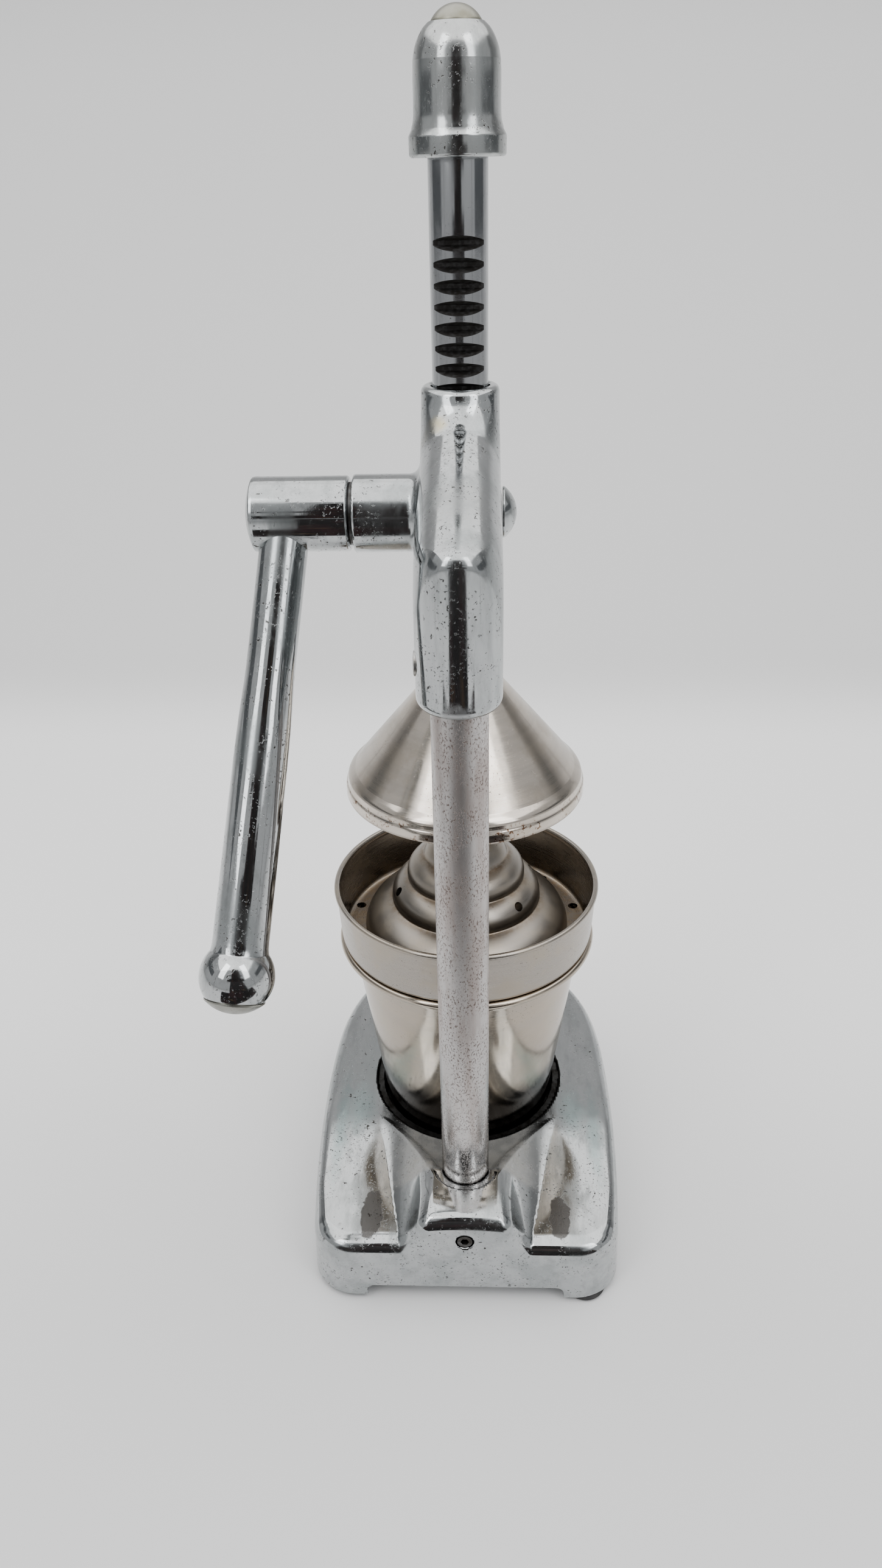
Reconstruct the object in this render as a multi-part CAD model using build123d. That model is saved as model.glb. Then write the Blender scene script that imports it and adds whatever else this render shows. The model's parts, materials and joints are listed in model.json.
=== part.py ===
from build123d import *

import os
from math import acos, asin, cos, pi, radians, sin, sqrt, tan

# Hand-lever citrus press. Millimetres, +Z up. Pieces are drawn about the rack and cup axis at
# table level, then moved together so that the files' origin lies under the rear lever-side foot.
# The column stands behind the cup on +Y, the lever is on +X and the user stands on -Y.

# ---- Driving dimensions -------------------------------------------------------------------
# Base casting
BASE_BOTTOM = 2.0  # height of the casting's lower edge above the table
DECK_Z = 35.0
BASE_REAR_Y = 96.0
BASE_FRONT_Y = -88.0
BASE_HALF_WIDTH = 66.0
BASE_WIDEST_Y = 5.0
REAR_CORNER_X = 61.5
FRONT_CORNER = (61.0, -62.0)
REAR_CORNER_R = 16.0
FRONT_CORNER_R = 20.0
DECK_EDGE_R = 5.0
DRAFT_DEG = 1.5
BASE_WALL = 4.5
DECK_THICKNESS = 5.0
WELL_R = 42.6
WELL_SHELF_R = 39.3
WELL_SHELF_DEPTH = 1.4
WELL_FLOOR_Z = 17.0
WELL_FLOOR_THICKNESS = 3.5
REAR_RELIEF_HALF_WIDTH = 40.0
REAR_RELIEF_HEIGHT = 6.0

# Raised saddle that carries the column
COLUMN_Y = 66.5
COLUMN_R = 9.6
COLUMN_BOTTOM_Z = 8.0
COLUMN_TOP_Z = 298.0
SADDLE_TOP_Z = 47.0
SADDLE_HALF_TOP = 14.5
SADDLE_REAR_HALF = 26.5
SADDLE_REAR_VALLEY_Z = 30.8
SADDLE_FRONT_Y = 23.0
SADDLE_FRONT_HALF = 43.5
SADDLE_FRONT_VALLEY_Z = 34.95
SADDLE_DEPTH = 20.0
SADDLE_REAR_SAG = 0.39  # flank height at half reach, as a share of the rise
SADDLE_FRONT_SAG = 0.23
SADDLE_REAR_EDGE_R = 4.6
SCOOP_RIM_Z = 35.4
SLOPE_BEND = 0.036  # height gained per square millimetre away from the rim
SLOPE_REACH = 20.0
CHANNEL_BEND = 0.0178
CHANNEL_REACH = 28.0
SEAT_Z = 45.6
SEAT_R = 13.0
SET_SCREW_Z = 34.0
SET_SCREW_R = 3.0
SET_SCREW_MOUTH_R = 3.6
HEAD_SCREW_Z = 271.0
HEAD_SCREW_R = 3.0
HEAD_SCREW_HEAD_R = 4.2
HEAD_SCREW_RISE = 0.4

# Feet
FOOT_R = 8.5
FOOT_HEIGHT = 3.6
FOOT_RECESS_R = 4.2
FOOT_RECESS_DEPTH = 2.0
FOOT_SCREW_R = 2.0
FOOT_SCREW_HEAD_R = 3.8
FOOT_SCREW_TOP_Z = 13.0
FOOT_SCREW_SLOT = (2.2, 0.4)  # half length and half width of each slot of the cross
FOOT_PLACES = [(-49.0, 83.0), (49.0, 83.0), (-43.0, -60.0), (43.0, -60.0)]

# Head casting
HEAD_BOTTOM_Z = 256.0
NECK_R = 13.3
NECK_TOP_Z = 344.6
HEAD_REAR_R = 14.1
RIDGE_START = (13.3, 337.5)  # (y, z) where the sloping back leaves the neck
RIDGE_END = (80.6, 309.4)  # (y, z) where it meets the upright rear face
HEAD_EDGE_R = 4.2
BOSS_R = 13.0
BOSS_END_X = 36.0
CAVITY_HALF_WIDTH = 9.2

# Where the files' origin lies in the drawing, on the table
ORIGIN = (43.0, 83.0)

OVER_BASE = 80.0  # height above the base, where cuts through its top end

# Rack and pinion
MODULE = 2.0
TEETH = 12
PROFILE_SHIFT = 0.3
PRESSURE_ANGLE = radians(20)
BACKLASH = 0.4
PITCH = pi * MODULE
RACK_R = 9.5
RACK_LINE_Y = 7.5  # reference line of the rack teeth
NOTCH_COUNT = 18
NOTCHES_ABOVE_PINION = 13
RUNNING_GAP = 0.06
PINION_Z = 306.4
PINION_Y = RACK_LINE_Y + MODULE * (TEETH / 2 + PROFILE_SHIFT)
PINION_WIDTH = 17.0
SHAFT_R = 6.0
BUSH_R = 8.0
KEY_SIZE = 4.0
BUTTON_R = 8.6
BUTTON_EDGE = 0.6
BUTTON_HEIGHT = 4.2
BUTTON_STEM_R = 2.5

# Lever
WASHER_THICKNESS = 1.2
WASHER_R = 10.5
HUB_R = 12.6
HUB_START_X = 37.3
HUB_END_X = 70.1
HUB_DOME_HEIGHT = 2.9
ROD_X = 59.0
LEVER_BACK_DEG = 30.0  # how far behind straight down the lever hangs at rest
LEVER_SPLAY_DEG = 6.1
ROD_SOCKET_S = 8.0
TIP_R = 3.2  # pointed end that locks the lever into the shaft
TIP_S = 3.4
ROD_LENGTH = 158.1  # hub axis to the middle of the ball
ROD_R_TOP = 8.3
ROD_R_GRIP = 9.6
BALL_R = 12.9
PLUG_R = 10.5
PLUG_RIM = 0.6  # width of the rim round the plug's pocket
PLUG_DEPTH = 3.0
PLUG_HEIGHT = 4.4

# Rack column ends
BAR_BOTTOM_Z = 236.0
BAR_SHOULDER_Z = 243.5
BAR_TOP_Z = 430.0
SPIGOT_R = 4.0
SPIGOT_LENGTH = 12.5
CONE_SEAT_R = 5.0
CAP_BOTTOM_Z = 411.6
CAP_COLLAR_R = 15.15
CAP_BODY_R = 13.4
CAP_TOP_Z = 446.6
CAP_PLUG_R = 7.75
CAP_POCKET_DEPTH = 9.6
NUT_R = 7.5
NUT_HEIGHT = 5.5

# Press cone
CONE_RIM_Z = 190.35
CONE_RIM_R = 47.6
CONE_TOP_Z = 241.5
CONE_TOP_R = 10.5
CONE_SHOULDER = (45.3, 199.2)
BACKING_WASHER_R = 12.0
CONE_WASHER_R = 9.0
CONE_SCREW_R = 3.0
CONE_SCREW_HEAD_R = 6.2
CONE_SCREW_HEAD_HEIGHT = 3.2
SHEET = 1.0

# Strainer, reamer and cup
BOWL_RIM_Z = 145.0
BOWL_RIM_R = 55.8
BOWL_FOOT_Z = 120.4
BOWL_FOOT_R = 53.5
BOWL_BEAD_R = 1.2
BOWL_OPEN_R = 30.0  # opening of the floor, hidden under the reamer
LOCATING_RING_R = (45.0, 46.0)
LOCATING_RING_HEIGHT = 7.0
FLOOR_HOLE_RING_R = 48.5
FLOOR_HOLE_R = 2.1
FLOOR_HOLE_COUNT = 12
REAMER_TIERS = [(43.2, 0.0), (31.0, 15.6), (24.4, 26.0), (17.6, 36.4)]  # (radius, height over floor)
REAMER_HEIGHT = 48.5
REAMER_SKIN = 0.9
REAMER_HOLES = 6
REAMER_HOLE_R = 2.0
REAMER_HOLE_TURN = 18
REAMER_HOLE_TILT = 55
CUP_FOOT_Z = WELL_FLOOR_Z
CUP_FOOT_R = 36.6
CUP_SKIN = 0.8
CUP_WALL_TOP = (48.4, 112.0)
CUP_BEAD_R = 1.7
CUP_BEAD = (52.9, 118.6)


# ---- Helpers ------------------------------------------------------------------------------
def turned(*edges):
    """Revolve a closed outline, drawn as radius against height, about the Z axis."""
    return revolve(Plane.XZ * make_face(Curve() + list(edges)), Axis.Z)


def rod(radius, length):
    """Upright cylinder that stands on the XY plane."""
    return Cylinder(radius, length, align=(Align.CENTER, Align.CENTER, Align.MIN))


def post(radius, low, high, x=0.0, y=0.0):
    """Upright cylinder between two heights."""
    return Pos(x, y, low) * rod(radius, high - low)


def cross_rod(radius, low, high):
    """Cylinder along X on the pinion axis, between two X positions."""
    return Pos(low, PINION_Y, PINION_Z) * Rot(0, 90, 0) * rod(radius, high - low)


def block(x_range, y_range, z_range):
    """Box between two corners, given as one range for each axis."""
    sizes = [high - low for low, high in (x_range, y_range, z_range)]
    return Pos(x_range[0], y_range[0], z_range[0]) * Box(*sizes, align=Align.MIN)


def group(solids):
    """Separate equal solids that share one node."""
    return Compound(children=list(solids))


def dome(radius, z, height):
    """Arc of a ball cap, from its edge to its top on the axis."""
    ball_r = (radius**2 + height**2) / (2 * height)
    half = asin(radius / ball_r) / 2
    middle = (ball_r * sin(half), z + height - ball_r * (1 - cos(half)))
    return ThreePointArc((radius, z), middle, (0, z + height))


# ---- Base ---------------------------------------------------------------------------------
def base_plan(inset=0.0):
    """Plan outline of the base: bowed sides, an arched front and a straight rear."""
    corner_x, corner_y = FRONT_CORNER
    front = ThreePointArc((-corner_x, corner_y), (0, BASE_FRONT_Y), (corner_x, corner_y))
    rear_x, rear_y = REAR_CORNER_X, BASE_REAR_Y
    right = ThreePointArc((corner_x, corner_y), (BASE_HALF_WIDTH, BASE_WIDEST_Y), (rear_x, rear_y))
    rear = Line((rear_x, rear_y), (-rear_x, rear_y))
    left = ThreePointArc((-rear_x, rear_y), (-BASE_HALF_WIDTH, BASE_WIDEST_Y), (-corner_x, corner_y))
    face = make_face(Curve() + [front, right, rear, left])
    rear_corners = face.vertices().group_by(Axis.Y)[-1]
    face = fillet(rear_corners, REAR_CORNER_R)
    front_corners = face.vertices().group_by(Axis.Y)[0]
    face = fillet(front_corners, FRONT_CORNER_R)
    return offset(face, -inset) if inset else face


def saddle_section(y, half, valley_z, sag):
    """Upright section of the saddle: flat top, flanks sagging towards the valley lines."""
    top = SADDLE_TOP_Z
    reach = half - SADDLE_HALF_TOP
    hollow = (SADDLE_HALF_TOP + reach / 2, valley_z + sag * (top - valley_z))
    low = DECK_Z - SADDLE_DEPTH
    right = ThreePointArc((half, valley_z), hollow, (SADDLE_HALF_TOP, top))
    crown = Line((SADDLE_HALF_TOP, top), (-SADDLE_HALF_TOP, top))
    left = ThreePointArc((-SADDLE_HALF_TOP, top), (-hollow[0], hollow[1]), (-half, valley_z))
    skirt = Polyline((-half, valley_z), (-half, low), (half, low), (half, valley_z))
    face = make_face(Curve() + [right, crown, left, skirt])
    return Plane(origin=(0, y, 0), x_dir=(1, 0, 0), z_dir=(0, -1, 0)) * face


def saddle():
    """Hump from the rear face to the well, with its top edges rounded."""
    rear = saddle_section(BASE_REAR_Y - 0.6, SADDLE_REAR_HALF, SADDLE_REAR_VALLEY_Z, SADDLE_REAR_SAG)
    front = saddle_section(SADDLE_FRONT_Y, SADDLE_FRONT_HALF, SADDLE_FRONT_VALLEY_Z, SADDLE_FRONT_SAG)
    body = loft([rear, front], ruled=True)
    top_rear = body.edges().group_by(Axis.Z)[-1].sort_by(Axis.Y)[-1]
    return fillet(top_rear, SADDLE_REAR_EDGE_R)


def scoop(bend, reach):
    """Room over a slope that rises from the rim of the well, hollow like a dish."""
    rim = (WELL_R - 1, SCOOP_RIM_Z)
    start = (WELL_R, SCOOP_RIM_Z)
    middle = (WELL_R + reach / 2, SCOOP_RIM_Z + bend * (reach / 2) ** 2)
    end = (WELL_R + reach, SCOOP_RIM_Z + bend * reach**2)
    return turned(
        Line(rim, start),
        ThreePointArc(start, middle, end),
        Line(end, (rim[0], end[1])),
        Line((rim[0], end[1]), rim),
    )


def column_channel():
    """Dished channel from the well to the column, with a round end behind it."""
    width = block((-SEAT_R, SEAT_R), (0, COLUMN_Y), (SCOOP_RIM_Z - 1, OVER_BASE))
    return scoop(CHANNEL_BEND, CHANNEL_REACH) & width


def saddle_trench():
    """Deck material that gives way to the saddle between its two ridge lines."""
    low = DECK_Z - SADDLE_DEPTH
    points = [
        (SADDLE_REAR_HALF, BASE_REAR_Y + 1),
        (SADDLE_FRONT_HALF, SADDLE_FRONT_Y),
        (-SADDLE_FRONT_HALF, SADDLE_FRONT_Y),
        (-SADDLE_REAR_HALF, BASE_REAR_Y + 1),
    ]
    return Pos(0, 0, low) * extrude(make_face(Polyline(*points, close=True)), 2 * SADDLE_DEPTH)


def base_shell():
    """Draughted outer block with a rounded deck edge."""
    outer = Pos(0, 0, BASE_BOTTOM) * extrude(base_plan(), DECK_Z - BASE_BOTTOM, taper=DRAFT_DEG)
    return fillet(outer.edges().group_by(Axis.Z)[-1], DECK_EDGE_R)


def base_hollow():
    """Space under the deck, with solid corners left for the feet and a solid rear spine."""
    height = DECK_Z - DECK_THICKNESS - BASE_BOTTOM
    hollow = Pos(0, 0, BASE_BOTTOM) * extrude(base_plan(BASE_WALL + 1), height)
    for x, y in FOOT_PLACES:
        hollow -= post(FOOT_R + 2.5, BASE_BOTTOM, DECK_Z, x, y)
    spine = SADDLE_HALF_TOP + 3
    hollow -= block((-spine, spine), (COLUMN_Y - 26.5, BASE_REAR_Y), (BASE_BOTTOM, DECK_Z))
    hollow -= post(WELL_SHELF_R + BASE_WALL, WELL_FLOOR_Z - WELL_FLOOR_THICKNESS, DECK_Z)
    return hollow


def rear_screw_hole():
    """Threaded hole from the rear face to the column, with a wider mouth."""
    hole = Pos(0, 0, COLUMN_Y) * rod(SET_SCREW_R, 40)
    mouth = Pos(0, 0, BASE_REAR_Y - 2) * rod(SET_SCREW_MOUTH_R, 5)
    return Pos(0, 0, SET_SCREW_Z) * Rot(-90, 0, 0) * (hole + mouth)


def base_casting():
    """Hollow base with the cup's well, the saddle, the column's socket and sockets for the feet."""
    body = base_shell() - base_hollow()
    under_saddle = block((-80, 80), (-80, 120), (0, SADDLE_REAR_VALLEY_Z - 8))
    body -= saddle_trench() - under_saddle
    body += saddle()
    body -= post(WELL_SHELF_R, WELL_FLOOR_Z, OVER_BASE)
    body -= post(WELL_R, DECK_Z - WELL_SHELF_DEPTH, OVER_BASE)
    body -= scoop(SLOPE_BEND, SLOPE_REACH)
    body -= column_channel()
    body -= post(SEAT_R, SEAT_Z, OVER_BASE, 0, COLUMN_Y)
    body -= post(COLUMN_R, COLUMN_BOTTOM_Z, OVER_BASE, 0, COLUMN_Y)
    body -= block(
        (-REAR_RELIEF_HALF_WIDTH, REAR_RELIEF_HALF_WIDTH),
        (BASE_REAR_Y - 12, BASE_REAR_Y + 5),
        (0, BASE_BOTTOM + REAR_RELIEF_HEIGHT),
    )
    body -= rear_screw_hole()
    for x, y in FOOT_PLACES:
        body -= post(FOOT_R + 0.1, 0, FOOT_HEIGHT, x, y)
        body -= post(FOOT_SCREW_R, 0, FOOT_SCREW_TOP_Z + 1, x, y)
    return body


def rubber_feet():
    """Four round pads with a recess for the screw head."""
    pads = []
    for x, y in FOOT_PLACES:
        pad = post(FOOT_R, 0, FOOT_HEIGHT, x, y)
        pad = chamfer(pad.edges().group_by(Axis.Z)[0], 0.6)
        pad -= post(FOOT_RECESS_R, 0, FOOT_RECESS_DEPTH, x, y)
        pad -= post(FOOT_SCREW_R, 0, FOOT_HEIGHT, x, y)
        pads.append(pad)
    return group(pads)


def foot_screws():
    """Pan head screws that hold the feet, with a cross slot each."""
    long, thin = FOOT_SCREW_SLOT
    screws = []
    for x, y in FOOT_PLACES:
        screw = post(FOOT_SCREW_HEAD_R, 0.4, FOOT_RECESS_DEPTH, x, y)
        screw += post(FOOT_SCREW_R, FOOT_RECESS_DEPTH, FOOT_SCREW_TOP_Z, x, y)
        screw -= block((x - long, x + long), (y - thin, y + thin), (0, 1.2))
        screw -= block((x - thin, x + thin), (y - long, y + long), (0, 1.2))
        screws.append(screw)
    return group(screws)


def column():
    """Plain round column from the base's socket to the head's socket."""
    body = post(COLUMN_R, COLUMN_BOTTOM_Z, COLUMN_TOP_Z, 0, COLUMN_Y)
    return chamfer(body.edges().filter_by(GeomType.CIRCLE), 0.8)


def column_set_screw():
    """Hex socket screw through the rear face, pressing on the column."""
    start = COLUMN_Y + COLUMN_R
    end = BASE_REAR_Y - 1.2
    screw = Pos(0, 0, start) * rod(SET_SCREW_R, end - start)
    socket = Pos(0, 0, end - 3) * extrude(RegularPolygon(1.75, 6), 4)
    return Pos(0, 0, SET_SCREW_Z) * Rot(-90, 0, 0) * (screw - socket)


# ---- Head ---------------------------------------------------------------------------------
def head_prism():
    """Head seen from above: neck end in front, column end behind, straight flanks."""
    rear = ThreePointArc((HEAD_REAR_R, COLUMN_Y), (0, COLUMN_Y + HEAD_REAR_R), (-HEAD_REAR_R, COLUMN_Y))
    left = Line((-HEAD_REAR_R, COLUMN_Y), (-NECK_R, 0))
    front = ThreePointArc((-NECK_R, 0), (0, -NECK_R), (NECK_R, 0))
    right = Line((NECK_R, 0), (HEAD_REAR_R, COLUMN_Y))
    plan = make_face(Curve() + [rear, left, front, right])
    return Pos(0, 0, HEAD_BOTTOM_Z) * extrude(plan, NECK_TOP_Z - HEAD_BOTTOM_Z)


def head_back():
    """Everything under the sloping, fully rounded back of the head."""
    (y0, z0), (y1, z1) = RIDGE_START, RIDGE_END
    along = Vector(0, y1 - y0, z1 - z0).normalized()
    up = Vector(0, -along.Z, along.Y)
    overrun = 60
    start = Vector(0, y0, z0) - up * HEAD_REAR_R - along * overrun
    crown = ThreePointArc((-HEAD_REAR_R, 0), (0, -HEAD_REAR_R), (HEAD_REAR_R, 0))
    sides = Polyline((HEAD_REAR_R, 0), (HEAD_REAR_R, 120), (-HEAD_REAR_R, 120), (-HEAD_REAR_R, 0))
    section = Plane(origin=start, x_dir=(1, 0, 0), z_dir=along) * make_face(Curve() + [crown, sides])
    return extrude(section, 160, dir=along)


def gear_cavity():
    """Room for the pinion, open to the underside so that it can be put in."""
    tip_r = MODULE * (TEETH / 2 + 1 + PROFILE_SHIFT)
    room = tip_r + 0.8
    cavity = cross_rod(room, -CAVITY_HALF_WIDTH, CAVITY_HALF_WIDTH)
    slot = block(
        (-CAVITY_HALF_WIDTH, CAVITY_HALF_WIDTH),
        (PINION_Y - room, PINION_Y + room),
        (HEAD_BOTTOM_Z - 1, PINION_Z),
    )
    return cavity + slot


def head_casting():
    """Neck for the rack, gear housing, bearing boss and column socket in one casting."""
    body = head_prism() & head_back()
    body += post(NECK_R, HEAD_BOTTOM_Z, NECK_TOP_Z)
    body += cross_rod(BOSS_R, 0, BOSS_END_X)
    bottom = body.faces().sort_by(Axis.Z)[0]
    body = fillet(bottom.edges(), HEAD_EDGE_R)
    body = fillet(body.faces().sort_by(Axis.Z)[-1].edges(), 1.8)
    body = chamfer(body.faces().sort_by(Axis.X)[-1].edges(), 0.5)
    body -= post(RACK_R + RUNNING_GAP, HEAD_BOTTOM_Z - 1, NECK_TOP_Z + 1)
    body -= gear_cavity()
    body -= cross_rod(BUSH_R, -20, BOSS_END_X + 1)
    body -= post(COLUMN_R, HEAD_BOTTOM_Z - 1, COLUMN_TOP_Z, 0, COLUMN_Y)
    body -= side_cylinder(HEAD_SCREW_R, 0, HEAD_REAR_R + 5)
    return body


def side_cylinder(radius, low, high):
    """Cylinder along +X at the height of the head's screw, from x = low to x = high."""
    return Pos(low, COLUMN_Y, HEAD_SCREW_Z) * Rot(0, 90, 0) * rod(radius, high - low)


def head_set_screw():
    """Low round screw that clamps the column in the head."""
    top = HEAD_REAR_R + HEAD_SCREW_RISE
    head = side_cylinder(HEAD_SCREW_HEAD_R, HEAD_REAR_R, top)
    head = fillet(head.edges().sort_by(Axis.X)[-1], 0.3)
    socket = extrude(RegularPolygon(1.6, 6), 3)
    socket = Pos(top - 1.2, COLUMN_Y, HEAD_SCREW_Z) * Rot(0, 90, 0) * socket
    return side_cylinder(HEAD_SCREW_R, COLUMN_R, HEAD_REAR_R + 0.2) + head - socket


def shaft_bush(low, high):
    """Plain bearing bush for the pinion shaft, between two X positions."""
    return cross_rod(BUSH_R, low, high) - cross_rod(SHAFT_R + RUNNING_GAP, low - 1, high + 1)


def shaft_bush_outer():
    """Long bush in the boss on the lever's side."""
    return shaft_bush(CAVITY_HALF_WIDTH, BOSS_END_X)


def shaft_bush_inner():
    """Short bush in the far wall of the head."""
    return shaft_bush(-NECK_R, -CAVITY_HALF_WIDTH)


# ---- Lever, shaft and pinion --------------------------------------------------------------
def involute_point(base_r, radius, start_angle):
    """Point of an involute flank at a radius, turned so that the flank starts at start_angle."""
    spread = acos(min(1.0, base_r / radius))
    angle = start_angle + tan(spread) - spread
    return (radius * cos(angle), radius * sin(angle))


def gear_outline():
    """Closed outline of the pinion, one tooth centred on the local +X direction."""
    pitch_r = MODULE * TEETH / 2
    base_r = pitch_r * cos(PRESSURE_ANGLE)
    tip_r = pitch_r + MODULE * (1 + PROFILE_SHIFT)
    root_r = pitch_r - MODULE * (1.25 - PROFILE_SHIFT)
    thickness = MODULE * (pi / 2 + 2 * PROFILE_SHIFT * tan(PRESSURE_ANGLE)) - BACKLASH
    half = thickness / (2 * pitch_r) + tan(PRESSURE_ANGLE) - PRESSURE_ANGLE
    steps = 7
    radii = [base_r + (tip_r - base_r) * i / (steps - 1) for i in range(steps)]
    lower = [(root_r * cos(-half), root_r * sin(-half))]
    lower += [involute_point(base_r, r, -half) for r in radii]
    upper = [(x, -y) for x, y in reversed(lower)]
    tooth = lower + upper
    points = []
    for i in range(TEETH):
        a = 2 * pi * i / TEETH
        points += [(x * cos(a) - y * sin(a), x * sin(a) + y * cos(a)) for x, y in tooth]
    return points


def key_block():
    """Square key half in the shaft and half in the pinion, on its upper side."""
    half = KEY_SIZE / 2
    low = PINION_Z + SHAFT_R - half
    length = PINION_WIDTH / 2 - 1.5
    return block((-length, length), (PINION_Y - half, PINION_Y + half), (low, low + KEY_SIZE))


def pinion_gear():
    """Spur pinion with one tooth centred on the rack side."""
    face = make_face(Polyline(*gear_outline(), close=True))
    wheel = Rot(0, 90, 0) * Rot(0, 0, -90) * extrude(face, PINION_WIDTH)
    blank = Pos(-PINION_WIDTH / 2, PINION_Y, PINION_Z) * wheel
    return blank - cross_rod(SHAFT_R, -20, 20) - key_block()


def gear_key():
    """Square key that locks the pinion to its shaft."""
    return key_block()


def pinion_shaft():
    """Plain shaft from the inner bush to the hub, bored for the end button and lever tip."""
    body = cross_rod(SHAFT_R, -NECK_R - 0.6, HUB_END_X - 5)
    body -= key_block()
    body -= cross_rod(BUTTON_STEM_R, -NECK_R - 1, -NECK_R + 10)
    body -= lever_frame() * post(TIP_R, TIP_S, 13)
    return body


def shaft_end_button():
    """Domed button on the shaft's far end, with a stem in the shaft."""
    inner_x = -HEAD_REAR_R - 0.15
    stem_end = -NECK_R + 9
    solid = turned(
        Line((0, 0), (BUTTON_R, 0)),
        Line((BUTTON_R, 0), (BUTTON_R, BUTTON_EDGE)),
        dome(BUTTON_R, BUTTON_EDGE, BUTTON_HEIGHT),
        Line((0, BUTTON_EDGE + BUTTON_HEIGHT), (0, 0)),
    )
    button = Pos(inner_x, PINION_Y, PINION_Z) * Rot(0, -90, 0) * solid
    return button + cross_rod(BUTTON_STEM_R, inner_x - 0.1, stem_end)


def thrust_washer():
    """Dark washer between the boss and the turning hub."""
    start = BOSS_END_X + 0.05
    end = start + WASHER_THICKNESS
    return cross_rod(WASHER_R, start, end) - cross_rod(SHAFT_R, start - 1, end + 1)


def lever_direction():
    """Direction from the hub to the ball at rest."""
    back = radians(LEVER_BACK_DEG)
    splay = radians(LEVER_SPLAY_DEG)
    return Vector(sin(splay), cos(splay) * sin(back), -cos(splay) * cos(back))


def lever_frame():
    """Placement with its origin on the hub axis and +Z along the lever."""
    back = radians(LEVER_BACK_DEG)
    splay = radians(LEVER_SPLAY_DEG)
    across = Vector(cos(splay), -sin(splay) * sin(back), sin(splay) * cos(back))
    return Plane(origin=(ROD_X, PINION_Y, PINION_Z), x_dir=across, z_dir=lever_direction()).location


def lever_hub():
    """Round hub with a slightly domed outer end and a socket for the lever."""
    solid = turned(
        Line((0, HUB_START_X), (HUB_R, HUB_START_X)),
        Line((HUB_R, HUB_START_X), (HUB_R, HUB_END_X)),
        dome(HUB_R, HUB_END_X, HUB_DOME_HEIGHT),
        Line((0, HUB_END_X + HUB_DOME_HEIGHT), (0, HUB_START_X)),
    )
    body = Pos(0, PINION_Y, PINION_Z) * Rot(0, 90, 0) * solid
    body = chamfer(body.edges().sort_by(Axis.X)[0], 0.5)
    body -= cross_rod(SHAFT_R, 0, HUB_END_X - 5)
    frame = lever_frame()
    body -= frame * post(TIP_R, TIP_S, 30)
    body -= frame * post(ROD_R_TOP, ROD_SOCKET_S, 30)
    return body


def lever_rod():
    """Tapered lever with a thicker grip and a ball end, cut flat for its plug."""
    neck_s = ROD_LENGTH - sqrt(BALL_R**2 - (ROD_R_GRIP + 0.4) ** 2)
    flat_s = ROD_LENGTH + sqrt(BALL_R**2 - PLUG_R**2)
    pocket_r, pocket_s = PLUG_R - PLUG_RIM, flat_s - PLUG_DEPTH
    solid = turned(
        Line((0, TIP_S), (TIP_R, TIP_S)),
        Line((TIP_R, TIP_S), (TIP_R, ROD_SOCKET_S)),
        Line((TIP_R, ROD_SOCKET_S), (ROD_R_TOP, ROD_SOCKET_S)),
        Line((ROD_R_TOP, ROD_SOCKET_S), (ROD_R_TOP, 18)),
        Spline((ROD_R_TOP, 18), (8.5, 58), (9.0, 78), (ROD_R_GRIP, neck_s - 3)),
        Line((ROD_R_GRIP, neck_s - 3), (ROD_R_GRIP + 0.4, neck_s)),
        ThreePointArc((ROD_R_GRIP + 0.4, neck_s), (BALL_R, ROD_LENGTH), (PLUG_R, flat_s)),
        Line((PLUG_R, flat_s), (pocket_r, flat_s)),
        Line((pocket_r, flat_s), (pocket_r, pocket_s)),
        Line((pocket_r, pocket_s), (0, pocket_s)),
        Line((0, pocket_s), (0, TIP_S)),
    )
    return lever_frame() * solid


def handle_end_plug():
    """Domed plug in the lever's open end."""
    flat_s = ROD_LENGTH + sqrt(BALL_R**2 - PLUG_R**2)
    pocket_r, pocket_s = PLUG_R - PLUG_RIM, flat_s - PLUG_DEPTH
    edge_r = PLUG_R - 0.05
    seat_s, edge_s = flat_s + 0.3, flat_s + 0.8
    solid = turned(
        Line((0, pocket_s), (pocket_r, pocket_s)),
        Line((pocket_r, pocket_s), (pocket_r, seat_s)),
        Line((pocket_r, seat_s), (edge_r, seat_s)),
        Line((edge_r, seat_s), (edge_r, edge_s)),
        dome(edge_r, edge_s, PLUG_HEIGHT),
        Line((0, edge_s + PLUG_HEIGHT), (0, pocket_s)),
    )
    return lever_frame() * solid


# ---- Rack and its ends --------------------------------------------------------------------
def rack_notch(z):
    """Tapered gap between two rack teeth, cut across the rear of the bar."""
    root_y = RACK_LINE_Y - 1.25 * MODULE
    open_y = RACK_R + 1
    half_root = PITCH / 4 - (RACK_LINE_Y - root_y) * tan(PRESSURE_ANGLE)
    half_open = PITCH / 4 + (open_y - RACK_LINE_Y) * tan(PRESSURE_ANGLE)
    under = [(root_y, z - half_root), (open_y, z - half_open)]
    over = [(open_y, z + half_open), (root_y, z + half_root)]
    face = Plane.YZ * make_face(Polyline(*under, *over, close=True))
    return Pos(-RACK_R - 1, 0, 0) * extrude(face, 2 * RACK_R + 2)


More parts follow.
